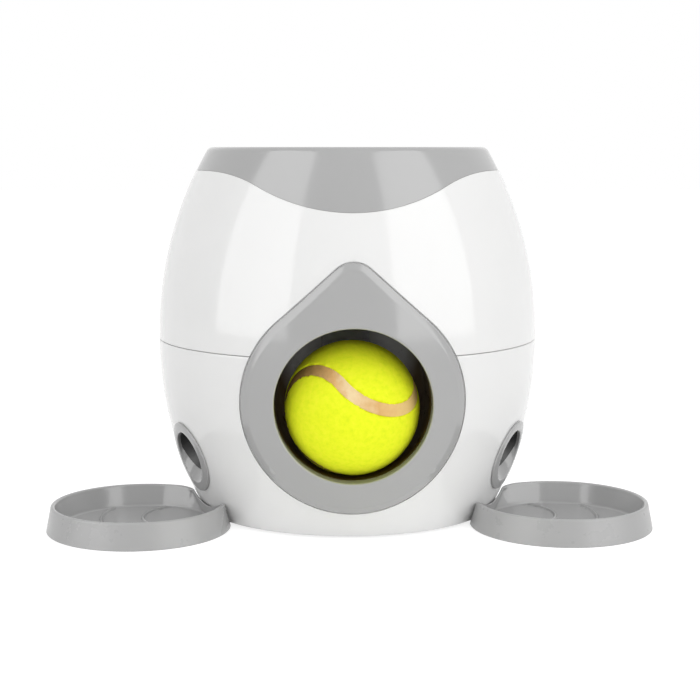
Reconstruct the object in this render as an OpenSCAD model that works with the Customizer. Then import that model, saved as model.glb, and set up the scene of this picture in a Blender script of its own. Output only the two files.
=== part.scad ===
// Ball return toy for dogs: a ball dropped in the top funnel rolls out of the front opening,
// trips a paddle on its way and two dosing drums drop treats into the side trays.
// The origin is on the floor, on the axis of the body. The front faces -Y.

/* [Body] */
// Largest outside diameter, at the seam between the two shells
body_d = 200; // [194:1:212]
// Height of the top rim above the floor
body_h = 191.5; // [189:0.5:196]
// Height of the seam between the lower and the upper shell
seam_z = 92; // [86:1:98]
// Radius of the bulged side profile
side_r = 198; // [190:1:230]
// Wall of the shells and of the top
wall = 2.6; // [2:0.1:3.2]
// Height of the shells above the floor, made up by the rubber feet
foot_h = 1.2; // [0.8:0.1:2]
// Floor of the lower shell
floor_t = 3; // [2:0.1:4]
// Overlap of the spigot that joins the two shells, on each side of the seam
spigot_h = 6; // [4:0.5:9]

/* [Top] */
// Lowest point of the wavy edge of the top, at the front and the back
wave_low = 160.5; // [157:0.5:164]
// Height of the wavy edge at the sides
wave_high = 179.6; // [176:0.2:182]
// Distance of the crest of the wave inside the body at that height
wave_in = 6.6; // [4:0.2:10]
// Radius of the hollow of the wave
wave_hollow_r = 94; // [86:1:104]
// Rounding of the top rim
rim_round = 4; // [2:0.5:6]
// Distance of the mouth of the bowl inside the top edge of the body
mouth_in = 4.2; // [3:0.1:6]
// Height of the lower edge of the bowl, at the throat
throat_z = 166; // [160:0.5:170]
// Free diameter of the throat
throat_d = 75.2; // [72:0.2:76]
// Wall of the bowl
bowl_t = 2.2; // [1.6:0.1:3]

/* [Ball and opening] */
// Diameter of the ball
ball_d = 67; // [64:0.5:69]
// Distance of the middle of the resting ball behind the front of the body
ball_in = 30; // [27:0.5:34]
// Width of the seam of the ball
seam_w = 6; // [4:0.5:8]
// Free diameter of the front opening and of the chute
exit_d = 76.2; // [74:0.2:79]
// Height of the middle of the front opening
exit_z = 68.7; // [66:0.1:71]
// Outside diameter of the round part of the drop-shaped bezel
bezel_d = 110; // [102:1:114]
// Diameter of the upper tip of the bezel
tip_d = 25.6; // [20:0.2:32]
// Distance from the middle of the opening up to the middle of the tip
tip_rise = 56.7; // [52:0.1:62]
// How far the bezel stands proud of the body
bezel_t = 2; // [1.4:0.1:3]
// Rounding of the edge of the bezel
bezel_edge = 1.2; // [0.6:0.1:1.4]

/* [Chute] */
// Wall of the chute
chute_t = 2.4; // [1.8:0.1:3]
// Bend radius of the middle line of the chute
bend_r = 46; // [45:0.5:48]
// Distance of the front end of the chute behind the front of the body
chute_in = 17; // [15:0.5:19]
// Height of the seat of the hopper above the start of the bend
seat_rise = 13.3; // [11:0.1:15]

/* [Trip] */
// Diameter of the trip shaft
shaft_d = 6; // [5:0.1:7]
// Distance of the shaft behind the axis
shaft_y = 43; // [42.5:0.1:45]
// Distance of the shaft below the start of the bend
shaft_drop = 12.7; // [11:0.1:14]
// Length of the paddle from the shaft to its tip
paddle_len = 55; // [50:0.5:57]
// Width of the paddle
paddle_w = 28; // [25:0.5:29]
// Thickness of the paddle
paddle_t = 2.5; // [2:0.1:3]
// Swing of the paddle, in degrees
paddle_swing = 52; // [44:1:53]
// Distance of the counterweight behind the shaft
weight_arm = 17; // [15:0.5:20]
// Diameter of the counterweight
weight_d = 10; // [8:0.5:12]
// Length of the counterweight
weight_len = 40; // [34:1:48]
// Diameter of the dosing drums
drum_d = 34; // [30:0.5:36]
// Room between the back corner of a dosing drum and the wall
drum_room = 6; // [5:0.5:9]
// Diameter of the treat pocket in a drum
pocket_d = 18; // [14:0.5:19]

/* [Treats] */
// Height of the wall of the hopper
hopper_top = 162; // [156:0.5:164]
// Wall of the hopper
hopper_t = 2; // [1.6:0.1:2.6]
// Fall of the hopper floor from its inner seat to the outside
hopper_fall = 8; // [5:0.5:9]
// Bearing of the outlets and trays from the front, in degrees
outlet_turn = 64; // [60:0.5:68]
// Height of the middle of the outlet plates
outlet_z = 34; // [32:0.5:36]
// Diameter of the outlet plates
outlet_d = 36; // [34:0.5:38]
// How far the outlet plates stand proud of the body
outlet_t = 1.2; // [0.8:0.1:2]
// Bore of the treat ducts
treat_d = 20; // [17:0.5:21]
// Wall of the treat ducts
treat_t = 1.8; // [1.4:0.1:2.4]
// Fall of the last stretch of a treat duct, in degrees
treat_fall = 38; // [34:1:42]

/* [Trays] */
// Distance of the middle of a tray outside the widest circle of the body
tray_reach = 19.4; // [17:0.2:22]
// Radius of a tray at the floor
tray_foot_r = 46.3; // [44:0.1:49]
// Radius of a tray at its rim
tray_rim_r = 44; // [42:0.1:46]
// Height of a tray
tray_h = 13.3; // [11:0.1:15]
// Wall of a tray
tray_t = 2; // [1.6:0.1:2.6]
// Radius of the flat bottom of the dish
dish_r = 38.5; // [37:0.1:40]
// Radius of the inner ripple in the dish
ripple_r = 27.2; // [25:0.2:29]
// Distance between the ripples
ripple_step = 21.2; // [18:0.2:23]
// Distance of the middle of the ripples behind the middle of the tray
ripple_back = 31; // [28:0.2:34]
// Height of a ripple
ripple_h = 0.8; // [0.4:0.1:1.2]
// Width of the tongue that holds a tray in the body
tongue_w = 26; // [20:1:32]
// Thickness of the tongue
tongue_t = 2.4; // [2:0.1:3]
// Length of the tongue inside the body
tongue_in = 8; // [5:0.5:10]

/* [Fits] */
// Gap between pieces that sit on each other
seat_gap = 0.3; // [0.25:0.05:0.4]
// Gap round pieces that slide or lift off
slide_gap = 0.5; // [0.4:0.05:0.7]
// Gap round the shaft in its bushes
shaft_gap = 0.08; // [0.05:0.01:0.1]
// Gap of pressed and screwed pieces
press_gap = 0.06; // [0.04:0.01:0.1]
// Diameter of the screws
screw_d = 3; // [2.5:0.1:3.5]

/* [Hidden] */
$fn = 144;
far = 2 * body_d;
eps = 0.01;

// Radius of the body at height z
function body_r(z) = body_d / 2 - side_r + sqrt(side_r * side_r - (z - seam_z) * (z - seam_z));

wave_half = body_r(wave_high) - wave_in;
bowl_mouth_r = body_r(body_h) - mouth_in;
ball_y = body_d / 2 - ball_in;
chute_front = body_d / 2 - chute_in;
tray_out = body_d / 2 + tray_reach;
ripple_out = tray_out - ripple_back;
floor_top = foot_h + floor_t;
bore_r = exit_d / 2;
pipe_r = bore_r + chute_t;
bend_z = exit_z + bend_r;
seat_z = bend_z + seat_rise;
collar_h = 12;
chute_top = seat_z + collar_h;
shaft_r = shaft_d / 2;
shaft_z = bend_z - shaft_drop;
tube_r = pipe_r + slide_gap;
ball_z = exit_z - bore_r + ball_d / 2 + seat_gap;
sleeve_back = chute_front + seat_gap;

white = [0.93, 0.93, 0.92];
grey = [0.70, 0.70, 0.70];
dark_grey = [0.32, 0.32, 0.32];
steel = [0.75, 0.76, 0.78];
black = [0.12, 0.12, 0.12];
lime = [0.80, 0.92, 0.18];
tan_felt = [0.80, 0.64, 0.42];

// Half section of the body between two heights, grown by off
module side_2d(off, z0, z1) {
    intersection() {
        translate([body_d / 2 - side_r, seam_z])
            circle(r = side_r + off);
        translate([0, z0])
            square([body_d, z1 - z0]);
    }
}

// The body as a solid of revolution between two heights, grown by off
module barrel(off, z0, z1) {
    rotate([0, 0, 90])
        rotate_extrude()
            side_2d(off, z0, z1);
}

// Extrudes an outline that is drawn as seen from the front, from the axis to the front
module front_prism(depth = far) {
    rotate([90, 0, 0])
        linear_extrude(height = depth)
            children();
}

// Puts a shape that is made for the front at the bearing of an outlet, side 1 right, -1 left
module at_outlet(side) {
    rotate([0, 0, side * outlet_turn])
        children();
}

// Cylinder along X, centred
module cross_bar(r, len) {
    rotate([0, 90, 0])
        cylinder(r = r, h = len, center = true);
}

// Moves to the trip shaft
module at_shaft() {
    translate([0, shaft_y, shaft_z])
        children();
}

// Wavy parting line

wave_rise = wave_high - wave_low;
// Radius of the crest that makes hollow and crest meet with one slope
wave_crest_r = (wave_half * wave_half + wave_rise * wave_rise) / (2 * wave_rise) - wave_hollow_r;
wave_slope = 2 * atan(wave_rise / wave_half);
wave_turn_x = wave_hollow_r * sin(wave_slope);
wave_turn_z = wave_low + wave_hollow_r * (1 - cos(wave_slope));

// Everything above the wavy line, as seen from the front
module above_wave_2d(top) {
    difference() {
        translate([-body_d, wave_low])
            square([2 * body_d, top - wave_low]);
        for (side = [-1, 1]) {
            translate([side * wave_half, wave_high - wave_crest_r])
                circle(r = wave_crest_r);
            translate([side * (wave_half + body_d / 2), wave_high - body_d / 2])
                square(body_d, center = true);
        }
        difference() {
            translate([-wave_turn_x, wave_low - wave_rise])
                square([2 * wave_turn_x, wave_turn_z - wave_low + wave_rise]);
            translate([0, wave_low + wave_hollow_r])
                circle(r = wave_hollow_r);
        }
    }
}

// The wave cut right through from front to back
module above_wave(raise, top) {
    translate([0, far / 2, raise])
        front_prism()
            above_wave_2d(top);
}

// Shells

sleeve_r = pipe_r;
outlet_rim = 2.3;
outlet_body_r = outlet_d / 2 - outlet_rim;
tongue_lift = 0.6;
tongue_z = floor_top + tongue_lift;
base_round = 1.6;
feet_in = 38;
feet_at = body_d / 2 - feet_in;
foot_d = 14;
peg_d = 5;
boss_d = 9;
boss_h = 5;
tab_z = floor_top + boss_h;
// Floor left below a blind screw hole
hole_floor = 1;
screw_r = screw_d / 2;
bezel_boss_d = 7;
// Places of the bezel's screw bosses as seen from the front
bezel_boss_ring = bore_r + 10.2;
bezel_boss_turn = 40;
tip_boss_drop = 8;
bezel_bosses = [
    [0, exit_z + tip_rise - tip_boss_drop],
    for (side = [-1, 1])
        [side * bezel_boss_ring * cos(bezel_boss_turn), exit_z - bezel_boss_ring * sin(bezel_boss_turn)]
];
// Places of the screws that hold the chute down
leg_back = 23;
chute_feet_y = [leg_back - chute_front, 20];
chute_screw_x = 33;
chute_screws_at = [for (y = chute_feet_y) for (side = [-1, 1]) [side * chute_screw_x, y]];

// Where the cuts for openings in the wall begin, inside the body
cut_start = 0.3 * body_d;

// Extrudes an outline outwards through the wall of the body only
module wall_prism() {
    translate([0, -cut_start, 0])
        front_prism()
            children();
}

// Openings in the body for the bezel, its bosses and the outlets
module body_openings() {
    wall_prism() {
        translate([0, exit_z])
            circle(r = sleeve_r + slide_gap);
        for (p = bezel_bosses)
            translate(p)
                circle(d = bezel_boss_d + 2 * seat_gap);
    }
    for (side = [-1, 1])
        at_outlet(side)
            wall_prism() {
                translate([0, outlet_z])
                    circle(r = outlet_body_r + seat_gap);
                translate([-tongue_w / 2 - slide_gap, tongue_z - slide_gap])
                    square([tongue_w + 2 * slide_gap, tongue_t + 2 * slide_gap]);
            }
}

// Bottom half of the body with its floor, foot holes and screw bosses
module lower_shell() {
    color(white)
        difference() {
            union() {
                difference() {
                    barrel(0, foot_h, seam_z - seat_gap / 2);
                    barrel(-wall, floor_top, seam_z + wall);
                    body_openings();
                }
                for (p = chute_screws_at)
                    translate([p.x, p.y, floor_top - eps])
                        cylinder(d = boss_d, h = tab_z - floor_top + eps);
            }
            for (p = chute_screws_at)
                translate([p.x, p.y, foot_h + hole_floor])
                    cylinder(r = screw_r + press_gap, h = far);
            for (turn = [45 : 90 : 315])
                rotate([0, 0, turn])
                    translate([feet_at, 0, 0])
                        cylinder(d = peg_d + 2 * press_gap, h = far);
            rotate_extrude()
                translate([body_r(foot_h), foot_h])
                    rotate([0, 0, 45])
                        square(base_round * sqrt(2), center = true);
        }
}

// Upper half of the body, with the spigot that slips into the lower half
module upper_shell() {
    color(white)
        difference() {
            union() {
                difference() {
                    barrel(0, seam_z + seat_gap / 2, body_h);
                    barrel(-wall, seam_z - wall, body_h + wall);
                }
                difference() {
                    barrel(-wall - seat_gap, seam_z - spigot_h, seam_z + spigot_h);
                    barrel(-wall - seat_gap - wall, seam_z - 2 * spigot_h, seam_z + 2 * spigot_h);
                }
                difference() {
                    barrel(-wall + eps, seam_z + seat_gap, seam_z + spigot_h);
                    barrel(-wall - seat_gap - eps, seam_z - spigot_h, seam_z + 2 * spigot_h);
                }
            }
            above_wave(0, body_h + wall);
            body_openings();
        }
}

// Top

lid_step = 0.4;
lid_r = side_r - lid_step;
rim_c_z = body_h - rim_round;
rim_c_r = body_d / 2 - side_r + sqrt(pow(lid_r - rim_round, 2) - pow(rim_c_z - seam_z, 2));
rim_tangent_z = seam_z + (rim_c_z - seam_z) * lid_r / (lid_r - rim_round);
throat_r = throat_d / 2;
mouth_drop = 1.5;
mouth_z = body_h - mouth_drop;
// Sphere of the bowl through its mouth and its lower edge
bowl_c_z = (bowl_mouth_r * bowl_mouth_r - throat_r * throat_r + mouth_z * mouth_z
    - throat_z * throat_z) / (2 * (mouth_z - throat_z));
bowl_r = sqrt(throat_r * throat_r + pow(bowl_c_z - throat_z, 2));
skirt_r = body_r(wave_high) - wall - slide_gap;
skirt_h = 12;
// How far the skirt runs up behind the wall of the top
skirt_root = 3;

// Outside of the top in half section, with its rounded rim
module top_2d(z0) {
    side_2d(-lid_step, z0, rim_tangent_z);
    translate([rim_c_r, rim_c_z])
        circle(r = rim_round);
    translate([0, z0])
        square([rim_c_r, body_h - z0]);
}

// Wall and bowl of the top in half section
module top_wall_2d() {
    difference() {
        intersection() {
            top_2d(wave_low - wall);
            square([body_d, body_h]);
        }
        translate([0, bowl_c_z])
            circle(r = bowl_r);
        difference() {
            side_2d(-lid_step - wall, 0, body_h - wall);
            translate([0, bowl_c_z])
                circle(r = bowl_r + bowl_t);
        }
        square([throat_r, body_h]);
    }
}

// Lift-off top: wavy outer wall, bowl, throat and locating skirt
module top_funnel() {
    color(grey) {
        intersection() {
            rotate_extrude()
                top_wall_2d();
            union() {
                above_wave(seat_gap, body_h + wall);
                cylinder(r = skirt_r - wall, h = far);
            }
        }
        rotate_extrude() {
            translate([throat_r, chute_top + seat_gap])
                square([tube_r - slide_gap - throat_r, throat_z + bowl_t - chute_top - seat_gap]);
            translate([skirt_r - bowl_t, wave_high - skirt_h])
                square([bowl_t, skirt_h + skirt_root]);
        }
    }
}

// Front opening

lean = (bezel_d - tip_d) / 2 / tip_rise;
lean_cos = sqrt(1 - lean * lean);
edge_steps = 3;

// Drop outline of the bezel as seen from the front, drawn in by inset
module drop_2d(inset) {
    round_r = bezel_d / 2 - inset;
    tip_r = tip_d / 2 - inset;
    translate([0, exit_z])
        circle(r = round_r);
    translate([0, exit_z + tip_rise])
        circle(r = tip_r);
    polygon([
        [round_r * lean_cos, exit_z + round_r * lean],
        [tip_r * lean_cos, exit_z + tip_rise + tip_r * lean],
        [-tip_r * lean_cos, exit_z + tip_rise + tip_r * lean],
        [-round_r * lean_cos, exit_z + round_r * lean]
    ]);
}

// Drop-shaped bezel that lies on the body, with its sleeve and screw bosses
module front_bezel() {
    color(grey)
        difference() {
            union() {
                difference() {
                    for (step = [0 : edge_steps - 1])
                        intersection() {
                            front_prism()
                                drop_2d(bezel_edge * (1 - cos(90 * step / edge_steps)));
                            barrel(bezel_t - bezel_edge * (1 - sin(90 * (step + 1) / edge_steps)), 0, body_h);
                        }
                    barrel(seat_gap, -wall, body_h + wall);
                }
                intersection() {
                    translate([0, -sleeve_back, exit_z])
                        rotate([90, 0, 0])
                            cylinder(r = sleeve_r, h = body_d);
                    barrel(seat_gap + eps, 0, body_h);
                }
                for (p = bezel_bosses)
                    intersection() {
                        front_prism()
                            translate(p)
                                circle(d = bezel_boss_d);
                        difference() {
                            barrel(seat_gap + eps, 0, body_h);
                            barrel(-wall - seat_gap, -wall, body_h + wall);
                        }
                    }
            }
            translate([0, 0, exit_z])
                rotate([90, 0, 0])
                    cylinder(r = bore_r, h = far);
            intersection() {
                front_prism()
                    for (p = bezel_bosses)
                        translate(p)
                            circle(r = screw_r + press_gap);
                barrel(seat_gap + bezel_edge / 2, -wall, body_h + wall);
            }
        }
}

// Chute

seat_w = 11.5;
seat_r = pipe_r + seat_w;
seat_t = 3;
ear_t = 5;
ear_x = pipe_r - ear_t;
ear_r = 9;
drum_r = drum_d / 2;
// The drums fill the room between the ears and the wall
drum_gap = 4.5;
drum_in = ear_x + ear_t + drum_gap;
drum_out = sqrt(pow(body_d / 2 - wall - drum_room, 2) - pow(shaft_y + drum_r, 2));
drum_len = drum_out - drum_in;
drum_x = (drum_in + drum_out) / 2;
bush_d = 10;
slot_w = 26;
hub_d = 12;
// How far the slot for the paddle runs down from the shaft
slot_drop = 2 * hub_d;
leg_t = 4;
leg_w = 52;
tab_t = 3;
tab_w = 12;
hopper_screw_ring = pipe_r + seat_w / 2 + slide_gap;

// Bent pipe of the chute, its ends lengthened by over
module pipe(r, over = 0) {
    translate([0, 0, bend_z])
        cylinder(r = r, h = chute_top - bend_z + over);
    translate([0, -bend_r, bend_z])
        rotate([-90, 0, 90])
            rotate_extrude(angle = 90)
                translate([bend_r, 0])
                    circle(r = r);
    translate([0, -bend_r, exit_z])
        rotate([90, 0, 0])
            cylinder(r = r, h = chute_front - bend_r + over);
}

// Space on the inner side of the middle line of the bend, drawn in by inset
module inner_side(inset) {
    translate([-far / 2, 0, 0])
        rotate([90, 0, 90])
            linear_extrude(height = far) {
                translate([-bend_r, bend_z])
                    circle(r = bend_r - inset);
                translate([-far, exit_z + inset])
                    square([far - bend_r, far]);
                translate([-far, bend_z])
                    square([far - inset, far]);
            }
}

// Pipe with the ring that the hopper sits on
module pipe_with_seat() {
    pipe(pipe_r);
    translate([0, 0, seat_z - seat_t])
        cylinder(r = seat_r, h = seat_t - seat_gap);
}

module hopper_screw_places() {
    for (turn = [45 : 90 : 315])
        rotate([0, 0, turn])
            translate([hopper_screw_ring, 0, seat_z])
                children();
}

// Legs of the chute with their screw tabs
module chute_legs() {
    leg_tops = [exit_z - bore_r / 2, exit_z];
    for (i = [0 : len(chute_feet_y) - 1])
        translate([0, chute_feet_y[i], 0]) {
            translate([-leg_w / 2, -leg_t / 2, tab_z])
                cube([leg_w, leg_t, leg_tops[i] - tab_z]);
            translate([-chute_screw_x - tab_w / 2, -tab_w / 2, tab_z + seat_gap])
                cube([2 * chute_screw_x + tab_w, tab_w, tab_t]);
        }
}

// Ears that hold the bushes of the trip shaft
module shaft_ears() {
    for (side = [-1, 1])
        at_shaft()
            translate([side * ear_x, 0, 0]) {
                cross_bar(ear_r, ear_t);
                translate([-ear_t / 2, -shaft_y + bore_r / 3, -ear_r])
                    cube([ear_t, shaft_y - bore_r / 3, 2 * ear_r]);
            }
}

// Outer half of the chute, on which the ball rolls, with legs and shaft ears
module ball_trough() {
    color(dark_grey)
        difference() {
            union() {
                difference() {
                    pipe_with_seat();
                    inner_side(-seat_gap / 2);
                }
                chute_legs();
                shaft_ears();
            }
            pipe(bore_r, wall);
            at_shaft() {
                cross_bar(bush_d / 2 + press_gap, far);
                translate([-slot_w / 2, -shaft_y / 2, -slot_drop])
                    cube([slot_w, shaft_y, slot_drop + hub_d / 2 + slide_gap]);
            }
            hopper_screw_places()
                cylinder(r = screw_r + press_gap, h = far, center = true);
            for (p = chute_screws_at)
                translate([p.x, p.y, 0])
                    cylinder(r = screw_r + slide_gap, h = tab_z + 2 * tab_t);
        }
}

// Inner half of the chute
module chute_hood() {
    color(dark_grey)
        difference() {
            intersection() {
                pipe_with_seat();
                inner_side(seat_gap / 2);
            }
            pipe(bore_r, wall);
            hopper_screw_places()
                cylinder(r = screw_r + press_gap, h = far, center = true);
        }
}

// Treats

pocket_drop = 3;
pocket_up = drum_r - pocket_drop;
pocket_end = 2;
neck_lip = 1;
neck_half_y = pocket_d / 2 - neck_lip;
neck_half_x = drum_len / 2 - pocket_end - slide_gap;
// Gaps of the hopper to the shell and beside the drums
hopper_gap = 1;
hopper_low = seat_z - hopper_fall;
flange_r = seat_r - hopper_gap;
flange_z = seat_z + hopper_t + seat_gap;
treat_r = treat_d / 2;
duct_r = treat_r + treat_t;
// The ball of the knee stands a little over the pipes, so that they never touch it along a line
knee_over = 0.6;
knee_room = 6.4;
knee_out = (pipe_r + knee_room + duct_r + knee_over) / sin(outlet_turn);
duct_short = 6;
duct_end_out = body_r(outlet_z) - wall - duct_short;
outlet_lift = 1.5;
outlet_axis_z = outlet_z + outlet_lift;

// Height of the axis of the last stretch of a duct at a distance from the body's axis
function fall_z(out) = outlet_axis_z + (body_r(outlet_z) - out) * tan(treat_fall);

// Point at a distance from the body's axis on the bearing of the right outlet
function on_bearing(out, z) = [out * sin(outlet_turn), -out * cos(outlet_turn), z];

knee = on_bearing(knee_out, fall_z(knee_out));
duct_end = on_bearing(duct_end_out, fall_z(duct_end_out));
cup_drop = 8;
cup_low = shaft_z - drum_r - cup_drop;
cup_front = shaft_y - 2 * drum_r + treat_t;
duct_start = [drum_x, cup_front + duct_r, cup_low + duct_r + treat_t / 2];

// Space of the hopper above its floor, in half section
module hopper_space_2d() {
    intersection() {
        side_2d(-wall - hopper_gap - hopper_t, 0, body_h);
        polygon([
            [tube_r, seat_z + hopper_t],
            [seat_r, seat_z + hopper_t],
            [body_d / 2, hopper_low + hopper_t],
            [body_d / 2, body_h],
            [tube_r, body_h]
        ]);
    }
}

// Ring-shaped hopper in half section
module hopper_2d() {
    difference() {
        side_2d(-wall - hopper_gap, 0, hopper_top);
        hopper_space_2d();
        polygon([[0, 0], [0, seat_z], [seat_r, seat_z], [body_d / 2, hopper_low], [body_d / 2, 0]]);
        square([tube_r, body_h]);
    }
}

// Tube that leads the ball through the hopper, with the flange that its screws hold
module drop_tube() {
    color(grey)
        difference() {
            rotate_extrude()
                translate([tube_r, flange_z]) {
                    square([hopper_t, hopper_top - flange_z]);
                    square([flange_r - tube_r, hopper_t]);
                }
            hopper_screw_places()
                cylinder(r = screw_r + press_gap, h = far, center = true);
        }
}

// Hopper round the drop tube, split in two, with a neck over each drum
module treat_hopper() {
    color(grey)
        difference() {
            union() {
                rotate_extrude()
                    hopper_2d();
                difference() {
                    intersection() {
                        translate([-hopper_t / 2, -body_d / 2, 0])
                            cube([hopper_t, body_d, hopper_top - 2 * hopper_t]);
                        rotate_extrude()
                            hopper_space_2d();
                    }
                    cylinder(r = tube_r + hopper_t + seat_gap, h = body_h);
                    cylinder(r = flange_r + seat_gap, h = flange_z + hopper_t + seat_gap);
                }
                difference() {
                    for (side = [-1, 1])
                        at_shaft()
                            translate([side * drum_x - neck_half_x - hopper_t, -neck_half_y - hopper_t, drum_r / 2])
                                cube([2 * (neck_half_x + hopper_t), 2 * (neck_half_y + hopper_t), seat_z - shaft_z]);
                    rotate_extrude()
                        hopper_space_2d();
                }
            }
            for (side = [-1, 1])
                at_shaft()
                    translate([side * drum_x, 0, 0]) {
                        translate([-neck_half_x, -neck_half_y, 0])
                            cube([2 * neck_half_x, 2 * neck_half_y, body_h]);
                        cross_bar(drum_r + slide_gap, drum_len + 2 * hopper_gap);
                    }
            hopper_screw_places()
                cylinder(r = screw_r + press_gap, h = far, center = true);
        }
}

// Straight round rod from point a to point b
module rod(a, b, r) {
    v = b - a;
    len = norm(v);
    translate(a)
        rotate([0, acos(v.z / len), atan2(v.y, v.x)])
            cylinder(r = r, h = len);
}

// Right duct: cup under the drum, a long slide and the last stretch to the outlet
module duct_shape(r, knee_r) {
    rod(duct_start, knee, r);
    translate(knee)
        sphere(r = knee_r);
    rod(knee, duct_end, r);
}

module treat_duct() {
    cup_half = drum_len / 2 + slide_gap;
    cup_back = shaft_y + drum_r + slide_gap;
    cup_top = shaft_z - hub_d / 2 - slide_gap;
    difference() {
        union() {
            duct_shape(duct_r, duct_r + knee_over);
            intersection() {
                translate([drum_x - cup_half - treat_t, cup_front, cup_low])
                    cube([2 * (cup_half + treat_t), cup_back + treat_t - cup_front, cup_top - cup_low]);
                barrel(-2 * wall - seat_gap - hopper_gap, 0, seam_z + spigot_h);
            }
        }
        duct_shape(treat_r, treat_r + knee_over);
        rod(duct_end, 2 * duct_end - knee, treat_r);
        translate([drum_x - cup_half, cup_front + treat_t, cup_low + treat_t])
            cube([2 * cup_half, cup_back - cup_front - treat_t, cup_top]);
    }
}

module right_treat_duct() {
    color(grey)
        treat_duct();
}

module left_treat_duct() {
    color(grey)
        mirror([1, 0, 0])
            treat_duct();
}

// Tilt of the dished hole of an outlet, in degrees
scoop_tilt = 17;
// Flat ring of the plate round its dished hole
outlet_lip = 4.6;

// Outlet plate on the body with its dished hole and sleeve, made for the front
module outlet() {
    surface_out = body_r(outlet_z);
    start = [0, -duct_end_out, fall_z(duct_end_out)];
    finish = [0, -surface_out - wall, fall_z(surface_out + wall)];
    along = (finish - start) / norm(finish - start);
    difference() {
        union() {
            intersection() {
                front_prism()
                    translate([0, outlet_z])
                        circle(d = outlet_d);
                difference() {
                    barrel(outlet_t, 0, seam_z);
                    barrel(seat_gap, -wall, seam_z + wall);
                }
            }
            intersection() {
                front_prism()
                    translate([0, outlet_z])
                        circle(r = outlet_body_r);
                difference() {
                    barrel(outlet_t, 0, seam_z);
                    barrel(-wall - seat_gap, -wall, seam_z + wall);
                }
            }
            intersection() {
                rod(start + seat_gap * along, finish, duct_r);
                barrel(0, 0, seam_z);
            }
        }
        rod(start - along, finish + wall * along, treat_r);
        translate([0, -surface_out - outlet_t - slide_gap, outlet_z])
            rotate([scoop_tilt - 90, 0, 0])
                cylinder(r1 = outlet_d / 2 - outlet_lip, r2 = treat_r - outlet_t, h = wall + outlet_t);
    }
}

module right_outlet() {
    color(grey)
        at_outlet(1)
            outlet();
}

module left_outlet() {
    color(grey)
        mirror([1, 0, 0])
            at_outlet(1)
                outlet();
}

// Trays

rim_w = 2.4;
dish_z = 2.2;
recess_h = 0.8;
ripple_w = 1.4;

// Dip in the wall towards the body, over which the treats slide in
dip_r = 47.5;

// Half section of a tray about its own axis
module tray_2d() {
    rim_in = tray_rim_r - rim_w;
    difference() {
        union() {
            polygon([
                [0, 0],
                [tray_foot_r, 0],
                [tray_rim_r, tray_h - rim_w / 2],
                [rim_in, tray_h - rim_w / 2],
                [dish_r, dish_z],
                [0, dish_z]
            ]);
            translate([tray_rim_r - rim_w / 2, tray_h - rim_w / 2])
                circle(d = rim_w);
        }
        square([dish_r - tray_t, recess_h]);
        polygon([
            [dish_r + tray_t / 2, -eps],
            [tray_foot_r - tray_t, -eps],
            [tray_rim_r - tray_t / 2 - rim_w / 4, tray_h - 2 * rim_w]
        ]);
    }
}

// Tray made for the front, cut to the body, with ripples and tongue
module tray() {
    inner_wall = slide_gap + tray_t;
    difference() {
        union() {
            difference() {
                translate([0, -tray_out, 0])
                    rotate_extrude()
                        tray_2d();
                barrel(inner_wall - eps, -wall, seam_z);
            }
            difference() {
                intersection() {
                    barrel(inner_wall, 0, tray_h - rim_w / 2);
                    translate([0, -tray_out, 0])
                        cylinder(r = tray_rim_r - rim_w / 2, h = tray_h);
                }
                translate([0, 0, tongue_z + tongue_t + slide_gap + dip_r])
                    rotate([90, 0, 0])
                        cylinder(r = dip_r, h = far);
            }
            intersection() {
                translate([0, -tray_out, 0])
                    cylinder(r = dish_r - ripple_w, h = tray_h);
                translate([0, -ripple_out, dish_z - eps])
                    for (k = [0, 1])
                        difference() {
                            cylinder(r = ripple_r + k * ripple_step + ripple_w / 2, h = ripple_h + eps);
                            cylinder(r = ripple_r + k * ripple_step - ripple_w / 2, h = tray_h);
                        }
            }
        }
        barrel(slide_gap, -wall, seam_z);
    }
    tongue_out = body_r(tongue_z) + slide_gap + tray_t / 2;
    translate([-tongue_w / 2, -tongue_out, tongue_z])
        cube([tongue_w, tongue_in + wall + slide_gap + tray_t / 2, tongue_t]);
}

module right_tray() {
    color(grey)
        at_outlet(1)
            tray();
}

module left_tray() {
    color(grey)
        mirror([1, 0, 0])
            at_outlet(1)
                tray();
}

// Trip mechanism

shaft_end = 3;
shaft_half = drum_x + drum_len / 2 + shaft_end;
pin_d = 2;
pin_len = hub_d - 2;
clip_t = 0.8;
clip_d = 11;
arm_x = 9;
arm_t = 3;
// Length of the narrow stretch of the paddle, which swings through the slot of the chute
paddle_neck = 2 * hub_d;

module trip_shaft() {
    color(steel)
        difference() {
            at_shaft()
                cross_bar(shaft_r, 2 * shaft_half);
            pin_holes();
        }
}

// Holes of the drive pins in the hub of the paddle and in the drums
module pin_holes() {
    for (x = [-drum_x, 0, drum_x])
        at_shaft()
            translate([x, 0, 0])
                cylinder(d = pin_d + 2 * press_gap, h = drum_d, center = true);
}

module drive_pins() {
    color(steel)
        for (x = [-drum_x, 0, drum_x])
            at_shaft()
                translate([x, 0, 0])
                    cylinder(d = pin_d, h = pin_len, center = true);
}

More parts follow.
